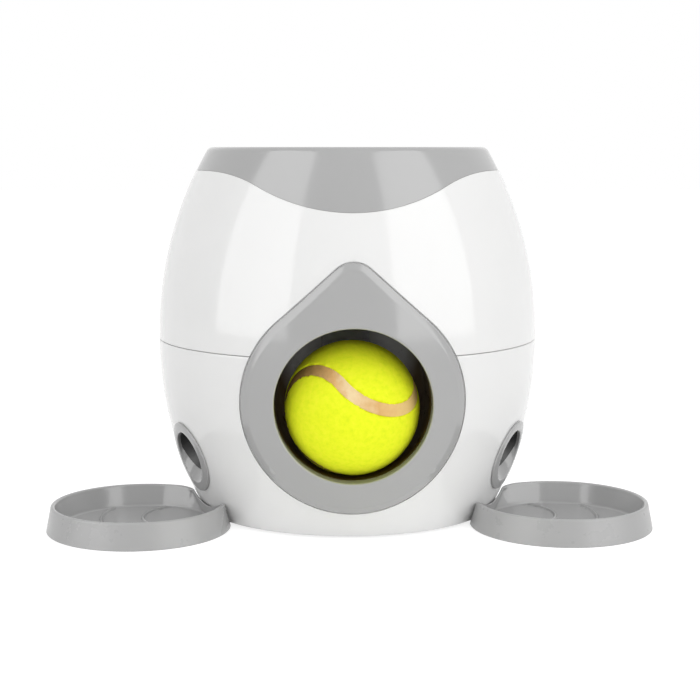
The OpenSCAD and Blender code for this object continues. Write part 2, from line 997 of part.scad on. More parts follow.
// Tongue that the ball falls on, with its hub and the arms of the counterweight
module trip_paddle() {
    tip_r = paddle_w / 2;
    color(black)
        at_shaft()
            difference() {
                union() {
                    translate([0, 0, -paddle_t / 2])
                        linear_extrude(height = paddle_t) {
                            translate([0, -paddle_len + tip_r])
                                circle(r = tip_r);
                            polygon([
                                [-hub_d, 0],
                                [-hub_d, -paddle_neck],
                                [-tip_r, -paddle_neck - hub_d / 2],
                                [-tip_r, -paddle_len + tip_r],
                                [tip_r, -paddle_len + tip_r],
                                [tip_r, -paddle_neck - hub_d / 2],
                                [hub_d, -paddle_neck],
                                [hub_d, 0]
                            ]);
                        }
                    cross_bar(hub_d / 2, 2 * hub_d);
                    for (side = [-1, 1])
                        translate([side * arm_x, 0, 0]) {
                            translate([-arm_t / 2, 0, -hub_d / 4])
                                cube([arm_t, weight_arm, hub_d / 2]);
                            translate([0, weight_arm, 0])
                                cross_bar(weight_d / 2 + arm_t / 2, arm_t);
                        }
                }
                cross_bar(shaft_r + press_gap, far);
                translate([0, weight_arm, 0])
                    cross_bar(weight_d / 2 + press_gap, far);
                cylinder(d = pin_d + 2 * press_gap, h = drum_d, center = true);
            }
}

module counterweight() {
    color(steel)
        at_shaft()
            translate([0, weight_arm, 0])
                cross_bar(weight_d / 2, weight_len);
}

// Drum with a treat pocket that faces up at rest
module dosing_drum() {
    hub_len = drum_gap + slide_gap;
    difference() {
        at_shaft()
            translate([drum_x, 0, 0])
                difference() {
                    union() {
                        cross_bar(drum_r, drum_len);
                        translate([-drum_len / 2 - hub_len / 2, 0, 0])
                            cross_bar(hub_d / 2, hub_len + eps);
                    }
                    cross_bar(shaft_r + press_gap, far);
                    translate([0, 0, pocket_up])
                        cross_bar(pocket_d / 2, drum_len - 2 * pocket_end);
                }
        pin_holes();
    }
}

module right_dosing_drum() {
    color(white)
        dosing_drum();
}

module left_dosing_drum() {
    color(white)
        mirror([1, 0, 0])
            dosing_drum();
}

module shaft_bushes() {
    flange_t = 1.2;
    color(lime)
        for (side = [-1, 1])
            at_shaft()
                difference() {
                    union() {
                        translate([side * ear_x, 0, 0])
                            cross_bar(bush_d / 2, ear_t);
                        translate([side * (ear_x + ear_t / 2 + flange_t / 2), 0, 0])
                            cross_bar(bush_d / 2 + flange_t, flange_t);
                    }
                    cross_bar(shaft_r + shaft_gap, far);
                }
}

// Open clips that keep the drums on the shaft
module shaft_clips() {
    color(steel)
        for (side = [-1, 1])
            at_shaft()
                translate([side * (drum_x + drum_len / 2 + seat_gap + clip_t / 2), 0, 0])
                    difference() {
                        cross_bar(clip_d / 2, clip_t);
                        cross_bar(shaft_r + press_gap, far);
                        translate([-clip_t, -shaft_r / 2, 0])
                            cube([2 * clip_t, shaft_r, clip_d]);
                    }
}

// Feet and fasteners

module rubber_feet() {
    color(black)
        for (turn = [45 : 90 : 315])
            rotate([0, 0, turn])
                translate([feet_at, 0, 0]) {
                    cylinder(d = foot_d, h = foot_h);
                    cylinder(d = peg_d, h = floor_top);
                }
}

// Screw with a rounded head, pointing down from the origin
module screw(len) {
    head_r = 1.9 * screw_r;
    dome_r = 1.6 * head_r;
    dome_drop = 0.9 * head_r;
    translate([0, 0, -len])
        cylinder(r = screw_r, h = len + eps);
    intersection() {
        cylinder(r = head_r, h = head_r);
        translate([0, 0, -dome_drop])
            sphere(r = dome_r);
    }
}

module chute_screws() {
    color(steel)
        for (p = chute_screws_at)
            translate([p.x, p.y, tab_z + tab_t + 2 * seat_gap])
                screw(tab_t + boss_h - hole_floor);
}

module hopper_screws() {
    color(steel)
        hopper_screw_places()
            translate([0, 0, 2 * (hopper_t + seat_gap)])
                screw(2 * hopper_t + seat_t + seat_gap);
}

// How far the bezel screws reach into their bosses and stand out at the middle of them
bezel_screw_in = 2.2;
bezel_screw_out = 2.2;

module bezel_screws() {
    color(steel)
        for (p = bezel_bosses) {
            inner_r = body_r(p.y) - wall - seat_gap;
            translate([p.x, -sqrt(inner_r * inner_r - p.x * p.x) + bezel_screw_out, p.y])
                rotate([-90, 0, 0])
                    screw(bezel_screw_out + bezel_screw_in);
        }
}

// Ball

ball_r = ball_d / 2;
// Turn of the resting ball, which sets where its seam shows
ball_turn = [-51.6, -3.1, 48.8];

// Seam line of the ball as four half rings that run into each other
module seam_rings(r) {
    ring_r = ball_r / sqrt(2);
    for (side = [-1, 1]) {
        translate([side * ring_r, 0, 0])
            rotate([90, 0, 90])
                rotate_extrude(angle = 180)
                    translate([ring_r, 0])
                        circle(r = r);
        translate([0, side * ring_r, 0])
            rotate([-90, 0, 0])
                rotate_extrude(angle = 180)
                    translate([ring_r, 0])
                        circle(r = r);
    }
}

module at_ball() {
    translate([0, -ball_y, ball_z])
        rotate(ball_turn)
            children();
}

module ball() {
    color(lime)
        at_ball()
            difference() {
                sphere(r = ball_r);
                seam_rings(seam_w / 2);
            }
}

module ball_seam() {
    color(tan_felt)
        at_ball()
            intersection() {
                sphere(r = ball_r - seat_gap);
                seam_rings(seam_w / 2 - press_gap);
            }
}

lower_shell();
upper_shell();
top_funnel();
front_bezel();
ball_trough();
chute_hood();
treat_hopper();
drop_tube();
left_treat_duct();
right_treat_duct();
left_outlet();
right_outlet();
left_tray();
right_tray();
trip_shaft();
trip_paddle();
counterweight();
left_dosing_drum();
right_dosing_drum();
shaft_bushes();
shaft_clips();
drive_pins();
rubber_feet();
chute_screws();
hopper_screws();
bezel_screws();
ball();
ball_seam();
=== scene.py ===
"""Looks of a barrel-shaped ball return toy with two treat trays, built round its packed CAD frame.

All sizes are metres in the frame of the CAD model: the origin is on the floor, on the axis of the
body, and the front faces -Y.
"""

import math

import bmesh
import bpy
import numpy as np
from bpy.props import FloatProperty, FloatVectorProperty, PointerProperty
from mathutils import Euler, Matrix, Vector
from mathutils.kdtree import KDTree


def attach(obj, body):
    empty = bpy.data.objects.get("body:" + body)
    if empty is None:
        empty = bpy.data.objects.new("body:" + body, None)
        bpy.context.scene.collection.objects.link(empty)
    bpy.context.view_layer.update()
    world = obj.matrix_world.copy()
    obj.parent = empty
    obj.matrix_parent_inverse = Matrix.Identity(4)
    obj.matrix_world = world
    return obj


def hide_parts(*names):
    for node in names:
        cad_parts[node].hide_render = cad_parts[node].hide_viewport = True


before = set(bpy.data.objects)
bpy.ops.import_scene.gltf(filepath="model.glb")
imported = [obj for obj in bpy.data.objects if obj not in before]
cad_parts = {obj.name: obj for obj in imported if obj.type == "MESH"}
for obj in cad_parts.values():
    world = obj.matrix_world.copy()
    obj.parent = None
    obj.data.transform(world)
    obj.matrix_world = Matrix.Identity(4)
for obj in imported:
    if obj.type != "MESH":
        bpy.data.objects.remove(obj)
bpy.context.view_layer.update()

bl_info = {
    "name": "Ball return toy",
    "version": (1, 0, 0),
    "blender": (4, 5, 0),
    "location": "View3D > Sidebar > Ball toy",
    "description": "Builds the shells, top, bezel, trays and ball of a ball return toy",
    "category": "Object",
}

MM = 0.001
AROUND = 384  # columns of the revolved pieces
SHARP = 35.0  # degrees between faces that leave a sharp edge
SIDES = (("right", 1), ("left", -1))


def length(name, default_mm, description):
    """Property for a length, given in millimetres and kept in metres."""
    return FloatProperty(
        name=name,
        description=description,
        default=default_mm * MM,
        min=0.0,
        precision=5,
        subtype="DISTANCE",
        unit="LENGTH",
    )


def angle(name, default_deg, description):
    """Property for an angle, given in degrees."""
    return FloatProperty(
        name=name,
        description=description,
        default=math.radians(default_deg),
        subtype="ANGLE",
        unit="ROTATION",
    )


def colour(name, default, description):
    """Property for a linear colour."""
    return FloatVectorProperty(
        name=name,
        description=description,
        default=default,
        min=0.0,
        max=1.0,
        size=3,
        subtype="COLOR",
    )


class BodySizes(bpy.types.PropertyGroup):
    """Sizes of the two shells."""

    width: length("Width", 200, "Largest diameter of the body, at the seam")
    height: length("Height", 191.5, "Height of the top rim above the floor")
    seam: length("Seam height", 92, "Height of the seam between the two shells")
    side: length("Side radius", 198, "Radius of the bulged side profile")
    wall: length("Wall", 2.6, "Wall of the shells")
    foot: length("Foot height", 1.2, "Height of the shells above the floor")
    floor: length("Floor", 3, "Thickness of the floor of the lower shell")
    spigot: length("Spigot", 6, "Reach of the joint between the shells")
    gap: length("Gap", 0.3, "Gap between pieces that sit on each other")
    edge: length("Edge", 0.45, "Rounding of the moulded edges")
    foot_edge: length("Foot edge", 0.8, "Rounding of the lower edge of the body")


class TopSizes(bpy.types.PropertyGroup):
    """Sizes of the wavy top with its bowl."""

    low: length("Wave low", 160.5, "Lowest point of the wavy edge, front and back")
    high: length("Wave high", 179.6, "Height of the wavy edge at the sides")
    half: length("Wave half", 72.97, "Distance from the middle to the crest of the wave")
    hollow: length("Wave hollow", 94, "Radius of the hollow of the wave")
    step: length("Step", 0.4, "How far the top stands back from the shell")
    joint: length("Joint", 0.08, "Gap of the wavy joint")
    crisp: length("Crisp edge", 0.15, "Rounding of the edges along the wavy joint")
    rim: length("Rim", 4, "Rounding of the top rim")
    mouth: length("Mouth", 68.98, "Radius of the bowl at its mouth")
    mouth_edge: length("Mouth edge", 0.4, "Width of the chamfer between rim and bowl")
    mouth_drop: length("Mouth drop", 1.5, "Depth of the mouth below the rim")
    throat: length("Throat", 75.2, "Free diameter of the throat")
    throat_height: length("Throat height", 166, "Height of the lower edge of the bowl")
    lip: length("Lip", 1.2, "Rounding of the edge between bowl and throat")
    spigot_foot: length("Spigot foot", 140.3, "Height of the lower end of the throat")
    bowl_wall: length("Bowl wall", 2.2, "Wall of the bowl")
    skirt: length("Skirt", 12, "Reach of the skirt below the wave's crest")
    skirt_gap: length("Skirt gap", 0.5, "Gap between the skirt and the upper shell")


class OpeningSizes(bpy.types.PropertyGroup):
    """Sizes of the front opening and its drop-shaped bezel."""

    bore: length("Bore", 76.2, "Free diameter of the front opening")
    height: length("Height", 68.7, "Height of the middle of the opening")
    bezel: length("Bezel", 108.4, "Diameter of the round part of the bezel")
    tip: length("Tip", 24.0, "Diameter of the upper tip of the bezel")
    tip_rise: length("Tip rise", 56.7, "Distance from the opening up to the tip's middle")
    proud: length("Proud", 2, "How far the bezel stands proud of the body")
    bevel: length("Bevel", 3.3, "Width of the bevel along the outline of the bezel")
    bevel_drop: length("Bevel drop", 1.2, "Fall of the bevel")
    edge: length("Edge", 0.25, "Rounding of the outer edge of the bezel")
    groove: length("Groove", 0.7, "Width of the groove in the shells round the bezel")
    groove_depth: length("Groove depth", 1.4, "Depth of the groove in the shells")
    lip: length("Lip", 1.1, "Rounding of the edge of the opening")
    sleeve: length("Sleeve", 2.4, "Wall of the sleeve behind the bezel")
    sleeve_gap: length("Sleeve gap", 0.5, "Gap between the sleeve and the shells")
    sleeve_end: length("Sleeve end", 83.3, "Distance of the sleeve's end from the axis")
    boss: length("Boss", 7, "Diameter of the screw bosses")
    boss_ring: length("Boss ring", 10.2, "Distance of the lower bosses from the opening's edge")
    boss_turn: angle("Boss turn", 40, "Angle of the lower bosses below the opening's middle")
    boss_drop: length("Boss drop", 8, "Distance of the upper boss below the tip's middle")


class OutletSizes(bpy.types.PropertyGroup):
    """Sizes of the treat outlets."""

    turn: angle("Turn", 64, "Bearing of the outlets and trays from the front")
    height: length("Height", 34, "Height of the middle of the plate")
    plate: length("Plate", 36, "Diameter of the plate")
    proud: length("Proud", 1.2, "How far the plate stands proud of the body")
    edge: length("Edge", 0.6, "Rounding of the edge of the plate")
    seat: length("Seat", 2.3, "Width of the plate's edge that lies on the body")
    dished: length("Dished hole", 26.8, "Diameter of the dished hole at the plate's face")
    brim: length("Brim", 0.5, "Half width of the rounded brim of the dished hole")
    brim_drop: length("Brim drop", 0.12, "Fall of the middle of the brim")
    # The mouth is coloured with the near-black painted shade of the ducts.
    mouth: length("Mouth", 25.6, "Width of the dark mouth behind the dished hole")
    mouth_height: length("Mouth height", 19.6, "Height of the dark mouth")
    mouth_depth: length("Mouth depth", 0.8, "Depth of the mouth below the surface of the body")
    ramp_depth: length("Ramp depth", 2.6, "How much deeper the lower edge of the mouth lies")
    mouth_lift: length("Mouth lift", 2.8, "Height of the mouth's middle above the plate's middle")
    bore: length("Bore", 20, "Bore of the treat duct")
    wall: length("Wall", 1.8, "Wall of the treat duct")
    lift: length("Lift", 1.5, "Height of the duct's middle above the plate's middle")
    inner: length("Inner end", 83.0, "Distance of the sleeve's inner end from the axis")
    fall: angle("Fall", 38, "Fall of the duct behind the outlet")


class TraySizes(bpy.types.PropertyGroup):
    """Sizes of the treat trays."""

    out: length("Out", 119.4, "Distance of the tray's middle from the axis")
    foot: length("Foot", 46.28, "Radius at the floor")
    rim: length("Rim", 44, "Radius at the rim")
    rim_width: length("Rim width", 2.4, "Width of the rounded rim")
    height: length("Height", 13.3, "Height of the rim")
    dish: length("Dish", 38.5, "Radius of the flat bottom of the dish")
    dish_height: length("Dish height", 2.2, "Height of the bottom of the dish")
    dish_spread: length("Dish spread", 0.5, "How much wider the dish is above its fillet")
    fillet: length("Fillet", 1.3, "Fillet between the wall and the bottom of the dish")
    standing: length("Standing", 2, "Width of the ring that stands on the floor")
    chamfer: length("Chamfer", 0.4, "Chamfer of the lower edge")
    recess: length("Recess", 0.8, "Height of the underside above the floor")
    gap: length("Gap", 0.5, "Gap to the body")
    blend: length("Blend", 0.7, "Rounding of the corners beside the body")
    wall: length("Wall", 2, "Wall towards the body")
    wall_growth: length("Wall growth", 0.4, "How much thicker that wall is at the dish")
    sill: length("Sill", 7.7, "Height of the lowest point of the wall towards the body")
    sill_edge: length("Sill edge", 1.0, "Width of the edge of the wall towards the body")
    narrowing: length("Narrowing", 1.5, "Distance from the round side over which the rim narrows")
    ripple: length("Ripple", 27.2, "Radius of the inner ripple")
    ripple_step: length("Ripple step", 21.2, "Distance between the ripples")
    ripple_out: length("Ripple out", 88.4, "Distance of the ripples' middle from the axis")
    ripple_height: length("Ripple height", 1.1, "Height of a ripple")
    ripple_width: length("Ripple width", 0.9, "Half width of a ripple")
    tongue: length("Tongue", 26, "Width of the tongue in the body")
    tongue_height: length("Tongue height", 4.8, "Height of the tongue's underside")
    tongue_thick: length("Tongue thickness", 2.4, "Thickness of the tongue")
    tongue_in: length("Tongue reach", 10.6, "Reach of the tongue into the body")


class BallSizes(bpy.types.PropertyGroup):
    """Sizes of the ball."""

    width: length("Width", 67, "Diameter over the felt")
    forward: length("Forward", 70, "Distance of the ball's middle from the axis")
    height: length("Height", 64.4, "Height of the ball's middle")
    seam: length("Seam", 6, "Width of the seam")
    nap: length("Nap", 0.35, "Depth of the uneven felt")
    ragged: length("Ragged", 2.6, "How ragged the felt ends along the seam")
    overlap: length("Overlap", 0.2, "Reach of the felt over the edge of the seam")
    bank: length("Bank", 1.1, "Width of the bank where the felt ends")
    groove: length("Groove", 1.3, "Depth of the groove under the seam")
    turn: FloatVectorProperty(
        name="Turn",
        description="Turn of the resting ball",
        default=[math.radians(a) for a in (-50.2, -4.7, 46.6)],
        size=3,
        subtype="EULER",
        unit="ROTATION",
    )


class Finishes(bpy.types.PropertyGroup):
    """Colours of the materials."""

    white: colour("White", (0.86, 0.86, 0.855), "Glossy shells")
    grey: colour("Grey", (0.405, 0.405, 0.405), "Top, bezel, outlets and trays")
    chute: colour("Chute", (0.34, 0.34, 0.34), "Chute towards the back")
    # Painted shade: dark brown for the chute's front, where the ball and the bezel shade it.
    chute_shade: colour("Scuffed", (0.09, 0.052, 0.008), "Chute at the front")
    # Painted shade: near black for the insides of the treat ducts and the outlets' mouths.
    shade: colour("Shade", (0.05, 0.05, 0.05), "Inside of the treat ducts")
    inner: colour("Inner grey", (0.30, 0.30, 0.31), "Hopper and drop tube")
    pale: colour("Pale", (0.72, 0.72, 0.70), "Drums and bushes")
    black: colour("Black", (0.02, 0.02, 0.02), "Paddle and feet")
    steel: colour("Steel", (0.55, 0.56, 0.58), "Shaft, pins and screws")
    felt: colour("Felt", (0.90, 0.98, 0.016), "Ball")
    seam: colour("Seam", (0.84, 0.58, 0.22), "Seam of the ball")
    floor: colour("Floor", (0.96, 0.96, 0.96), "Floor of the stage")


# Materials


class Nodes:
    """A node tree and a helper to fill it."""

    def __init__(self, tree):
        self.tree = tree

    def feed(self, target, value):
        """Gives an input a constant, or links a socket to it."""
        if isinstance(value, bpy.types.NodeSocket):
            self.tree.links.new(value, target)
        else:
            target.default_value = value

    def add(self, kind, inputs=None, **settings):
        """Adds a node with its settings and inputs, each a constant or a socket."""
        node = self.tree.nodes.new(kind)
        for key, value in settings.items():
            setattr(node, key, value)
        for key, value in (inputs or {}).items():
            self.feed(node.inputs[key], value)
        return node

    def background_share(self):
        """Socket that is 1 where the camera, a reflection or clear plastic shows the background."""
        path = self.add("ShaderNodeLightPath").outputs
        share = path["Is Camera Ray"]
        for kind in ("Is Glossy Ray", "Is Transmission Ray"):
            either = self.add("ShaderNodeMath", {0: share, 1: path[kind]}, operation="MAXIMUM")
            share = either.outputs["Value"]
        return share


class Shader(Nodes):
    """A node material with one Principled shader."""

    def __init__(self, name):
        self.material = bpy.data.materials.new(name)
        self.material.use_nodes = True
        super().__init__(self.material.node_tree)
        self.surface = self.tree.nodes["Principled BSDF"]
        self.place = self.add("ShaderNodeTexCoord").outputs["Object"]

    def set(self, **sockets):
        """Feeds the shader's own sockets, with _ for a space in a name."""
        for key, value in sockets.items():
            self.feed(self.surface.inputs[key.replace("_", " ")], value)

    def noise(self, scale, detail=3.0, roughness=0.5, stretch=None):
        """Noise texture in object coordinates, which may be scaled along each axis."""
        place = self.place
        if stretch:
            place = self.add("ShaderNodeMapping", {"Vector": place, "Scale": stretch}).outputs["Vector"]
        inputs = {"Vector": place, "Scale": scale, "Detail": detail, "Roughness": roughness}
        return self.add("ShaderNodeTexNoise", inputs).outputs["Fac"]

    def ramp(self, value, stops):
        """Colours the surface between the stops, each a place and a colour."""
        node = self.add("ShaderNodeValToRGB", {"Fac": value})
        elements = node.color_ramp.elements
        while len(elements) < len(stops):
            elements.new(1.0)
        for element, (place, tone) in zip(elements, stops):
            element.position = place
            element.color = (*tone, 1.0)
        self.set(Base_Color=node.outputs["Color"])

    def vary(self, value, low, high):
        """Varies the roughness from low to high over a texture's middle range."""
        span = {"From Min": 0.3, "From Max": 0.7, "To Min": low, "To Max": high}
        node = self.add("ShaderNodeMapRange", {"Value": value, **span})
        self.set(Roughness=node.outputs["Result"])

    def bump(self, value, height, strength=1.0, under=None):
        """Fine relief of the given height in metres, on top of another one."""
        inputs = {"Height": value, "Distance": height, "Strength": strength}
        if under is not None:
            inputs["Normal"] = under
        normal = self.add("ShaderNodeBump", inputs).outputs["Normal"]
        self.set(Normal=normal)
        return normal

    def uneven(self, texture, axis, start, end, amount):
        """Share from 0 to 1 between two places on an axis, made uneven by a texture."""
        parts = self.add("ShaderNodeSeparateXYZ", {"Vector": self.place})
        span = {"Value": parts.outputs[axis], "From Min": start, "From Max": end}
        share = self.add("ShaderNodeMapRange", span).outputs["Result"]
        inputs = {0: texture, 1: amount, 2: share}
        return self.add("ShaderNodeMath", inputs, operation="MULTIPLY_ADD").outputs["Value"]

    def gloss(self, low, high):
        """Uneven gloss of moulded plastic."""
        self.vary(self.noise(55.0, 5.0, 0.6), low, high)

    def grain(self, height, under=None):
        """Fine grain of moulded plastic."""
        self.bump(self.noise(1600.0, 2.0), height, 1.0, under)

    def rubber_face(self):
        """Matt, faintly pitted face of rubber."""
        self.vary(self.noise(260.0, 3.0), 0.55, 0.75)
        self.bump(self.noise(1500.0, 3.0), 0.06 * MM)


def toned(tone, *factors):
    """A colour with its channels scaled by one factor or by three, kept between 0 and 1."""
    if len(factors) == 1:
        factors *= 3
    return tuple(min(1.0, max(0.0, c * f)) for c, f in zip(tone, factors))


def moulded_plastic(name, tone, shine, grain=0.0, spread=0.03, ior=1.46, milky=0.0):
    """Moulded plastic: faint shade changes, uneven gloss, soft waviness and an optional fine grain.

    Milky plastic lets a share of the light through its walls.
    """
    s = Shader(name)
    s.ramp(s.noise(18.0, 4.0), [(0.3, toned(tone, 1 - spread)), (0.7, toned(tone, 1 + spread))])
    s.gloss(shine * 0.8, shine * 1.25)
    s.set(IOR=ior, Subsurface_Weight=milky, Subsurface_Radius=(1.0, 1.0, 1.0), Subsurface_Scale=3 * MM)
    waviness = s.bump(s.noise(26.0, 1.0), 0.02 * MM)
    if grain:
        s.grain(grain, waviness)
    return s.material


def grey_gloss(tones):
    """Glossy grey of the top, the bezel, the outlets and the dishes, made on first use."""
    made = bpy.data.materials.get("grey_gloss")
    return made or moulded_plastic("grey_gloss", tones.grey, 0.13, spread=0.02, ior=1.6)


def duct_painted_shade(tones):
    """Near-black plastic made on first use, painted shade for the insides of the treat ducts and the
    outlets' mouths.
    """
    made = bpy.data.materials.get("duct_painted_shade")
    return made or moulded_plastic("duct_painted_shade", tones.shade, 0.4, spread=0.1)


def chute_painted_shade(name, shade_tone, tone, front, back):
    """Chute plastic with painted shade: dark brown at the front, near the ball, blending into its own
    grey towards the back.
    """
    s = Shader(name)
    # Painted shade: the ramp darkens the chute to brown at the front and keeps its own grey towards the
    # back.
    painted_shade_share = s.uneven(s.noise(70.0, 4.0), "Y", front, back, 0.2)
    s.ramp(painted_shade_share, [(0.1, shade_tone), (1.0, tone)])
    s.gloss(0.26, 0.4)
    s.grain(0.03 * MM)
    return s.material


def brushed_steel(name, tone):
    """Zinc-plated steel with fine lengthwise scratches."""
    s = Shader(name)
    scratches = s.noise(900.0, 3.0, 0.6, stretch=(0.06, 1.0, 1.0))
    s.ramp(scratches, [(0.3, toned(tone, 0.85)), (0.7, toned(tone, 1.1))])
    s.vary(scratches, 0.24, 0.4)
    s.set(Metallic=1.0)
    s.bump(scratches, 0.01 * MM)
    return s.material


def soft_rubber(name, tone):
    """Matt rubber with a dusty, faintly pitted face."""
    s = Shader(name)
    s.ramp(s.noise(420.0, 4.0), [(0.3, toned(tone, 0.85)), (0.72, toned(tone, 1.18))])
    s.rubber_face()
    return s.material


def seam_painted_light(name, tone, reach):
    """Seam rubber with painted shade, brown towards -X, and a painted highlight, pale in the middle,
    with its own tan and tone towards +X.
    """
    s = Shader(name)
    # Painted light: the share runs along X, painted shade in brown where the bore shades the seam and a
    # painted highlight in pale where the light washes it out.
    painted_light_share = s.uneven(s.noise(160.0, 5.0, 0.65), "X", -reach, reach, 0.3)
    painted_shade_brown = toned(tone, 0.34, 0.29, 0.22)
    tan = toned(tone, 0.84, 0.70, 0.62)
    pale = toned(tone, 1.05, 1.18, 1.75)
    s.ramp(painted_light_share, [(0.3, painted_shade_brown), (0.5, tan), (0.64, pale), (0.8, tan), (1.0, tone)])
    s.rubber_face()
    return s.material


def ball_felt(name, tone):
    """Woolly felt: tufts of lighter and greener fibres with a soft sheen."""
    s = Shader(name)
    tufts = s.noise(420.0, 6.0, 0.66)
    greener = toned(tone, 0.88, 0.93, 0.7)
    paler = toned(tone, 1.08, 1.1, 2.0)
    s.ramp(tufts, [(0.28, greener), (0.5, tone), (0.78, paler)])
    s.vary(tufts, 0.98, 0.86)
    s.set(Specular_IOR_Level=0.25)
    s.set(Sheen_Weight=0.05, Sheen_Roughness=0.5, Sheen_Tint=(0.88, 1.0, 0.1, 1.0))
    under = s.bump(s.noise(1000.0, 5.0, 0.7), 0.3 * MM, 0.45)
    s.bump(s.noise(2600.0, 3.0), 0.1 * MM, 0.5, under)
    return s.material


def pale_floor(name, tone):
    """Pale studio floor that is nearly white to the camera and keeps the shadow."""
    s = Shader(name)
    s.ramp(s.noise(3.0, 4.0), [(0.3, toned(tone, 0.99)), (0.7, toned(tone, 1.01))])
    s.set(Roughness=0.6, Specular_IOR_Level=0.2)
    shaded, glowing = 0.42, 0.78
    shade = s.add("ShaderNodeBsdfDiffuse", {"Color": (shaded, shaded, shaded, 1.0)})
    glow = s.add("ShaderNodeEmission", {"Color": (1.0, 1.0, 1.0, 1.0), "Strength": glowing})
    seen = s.add("ShaderNodeAddShader", {0: shade.outputs["BSDF"], 1: glow.outputs["Emission"]})
    inputs = {"Fac": s.background_share(), 1: s.surface.outputs["BSDF"], 2: seen.outputs["Shader"]}
    mix = s.add("ShaderNodeMixShader", inputs)
    s.feed(s.tree.nodes["Material Output"].inputs["Surface"], mix.outputs["Shader"])
    return s.material


# Meshes


def barrel(sizes, z, off=0.0):
    """Radius of the body at height z, grown by off along its normal."""
    reach = (sizes.side + off) ** 2 - (z - sizes.seam) ** 2
    return sizes.width / 2 - sizes.side + np.sqrt(reach)


def turned(points, bearing):
    """Turns points that were made for the front to a bearing, right positive."""
    c, s = math.cos(bearing), math.sin(bearing)
    x, y, z = points[..., 0], points[..., 1], points[..., 2]
    return np.stack([x * c - y * s, x * s + y * c, z], axis=-1)


def revolved(section, theta):
    """Rings round Z from radii and heights; theta is measured from the front, right positive."""
    rings = []
    for r, z in section:
        r = np.broadcast_to(r, theta.shape)
        z = np.broadcast_to(z, theta.shape)
        rings.append(np.stack([r * np.sin(theta), -r * np.cos(theta), z], axis=-1))
    return np.array(rings)


def ring_faces(rings, loop, start_cap, end_cap):
    """Vertices and faces of quads between closed rings of points, with fans on open ends."""
    count, around = rings.shape[:2]
    vertices = [tuple(p) for p in rings.reshape(-1, 3)]
    faces = []
    for i in range(count if loop else count - 1):
        a, b = i * around, (i + 1) % count * around
        for k in range(around):
            n = (k + 1) % around
            faces.append((a + k, a + n, b + n, b + k))
    for cap, row in ((start_cap, 0), (end_cap, count - 1)):
        if cap:
            vertices.append(tuple(rings[row].mean(axis=0)))
            for k in range(around):
                faces.append((row * around + k, row * around + (k + 1) % around, len(vertices) - 1))
    return vertices, faces


def smooth(mesh, sharp=SHARP):
    """Shades a mesh smooth, apart from edges sharper than an angle in degrees."""
    mesh.shade_smooth()
    mesh.set_sharp_from_angle(angle=math.radians(sharp))


class Form:
    """Collects closed forms into one mesh object."""

    def __init__(self, name):
        self.name = name
        self.vertices = []
        self.faces = []

    def add(self, vertices, faces):
        """Adds a closed form."""
        start = len(self.vertices)
        self.vertices += vertices
        self.faces += [tuple(start + i for i in face) for face in faces]
        return self

    def rings(self, rings, loop=True, start_cap=False, end_cap=False):
        """Adds closed rings of points, joined in a loop or with fans on open ends."""
        return self.add(*ring_faces(np.asarray(rings, float), loop, start_cap, end_cap))

    def object(self, sharp=SHARP):
        """Makes the object, with doubled points merged and normals turned outwards."""
        mesh = bpy.data.meshes.new(self.name)
        mesh.from_pydata(self.vertices, [], self.faces)
        bm = bmesh.new()
        bm.from_mesh(mesh)
        bmesh.ops.remove_doubles(bm, verts=bm.verts, dist=1e-6)
        bmesh.ops.dissolve_degenerate(bm, edges=bm.edges, dist=1e-7)
        bmesh.ops.recalc_face_normals(bm, faces=bm.faces)
        bm.to_mesh(mesh)
        bm.free()
        smooth(mesh, sharp)
        made = bpy.data.objects.new(self.name, mesh)
        bpy.context.scene.collection.objects.link(made)
        return made


def tube(start, end, radius, around=48):
    """Rings of a straight closed cylinder from start to end."""
    start, end = Vector(start), Vector(end)
    turn = (end - start).to_track_quat("Z", "Y")
    steps = [2 * math.pi * k / around for k in range(around)]
    circle = [turn @ Vector((radius * math.cos(a), radius * math.sin(a), 0)) for a in steps]
    return np.array([[tuple(p + c) for c in circle] for p in (start, end)])


def block(low, high, bearing):
    """Vertices and faces of an upright box that is made for the front and turned to a bearing."""
    xs, ys, zs = zip(low, high)
    corners = np.array([(x, y, z) for z in zs for y in ys for x in xs])
    faces = [(0, 2, 3, 1), (4, 5, 7, 6), (0, 1, 5, 4), (2, 6, 7, 3), (0, 4, 6, 2), (1, 3, 7, 5)]
    return [tuple(p) for p in turned(corners, bearing)], faces


def cut(made, cutter):
    """Cuts the cutter out of an object and removes the cutter."""
    modifier = made.modifiers.new("Openings", "BOOLEAN")
    modifier.operation = "DIFFERENCE"
    modifier.solver = "EXACT"
    modifier.object = cutter
    graph = bpy.context.evaluated_depsgraph_get()
    mesh = bpy.data.meshes.new_from_object(made.evaluated_get(graph))
    made.modifiers.clear()
    made.data = mesh
    smooth(mesh)
    bpy.data.objects.remove(cutter)
    return made


def dress(made, material, body_name, slot, *nodes):
    """Gives a piece its material and CAD body and hides the nodes that it stands for; the slot is not
    used.
    """
    made.data.materials.clear()
    made.data.materials.append(material)
    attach(made, body_name)
    if nodes:
        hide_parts(*nodes)
    return made


def quarter(steps=5):
    """Pairs of inset and drop, from 0 to 1, that round an edge from its side to its face."""
    return [(1 - math.cos(a), math.sin(a)) for a in np.linspace(0, math.pi / 2, steps)]


def between(start, end, count):
    """Steps from start to end, for single values and for values round a ring."""
    return [start + share * (end - start) for share in np.linspace(0, 1, count)]


def on_body(sizes, heights, off=0.0):
    """Section points on the body grown by off."""
    return [(barrel(sizes, z, off), z) for z in heights]


def lower_edge(sizes, low, edge, off=0.0, steps=5):
    """Section points that round the lower edge of a wall, from its underside to its side."""
    turns = [(edge * inset, low + edge * (1 - drop)) for inset, drop in reversed(quarter(steps))]
    return [(barrel(sizes, z, off) - inset, z) for inset, z in turns]


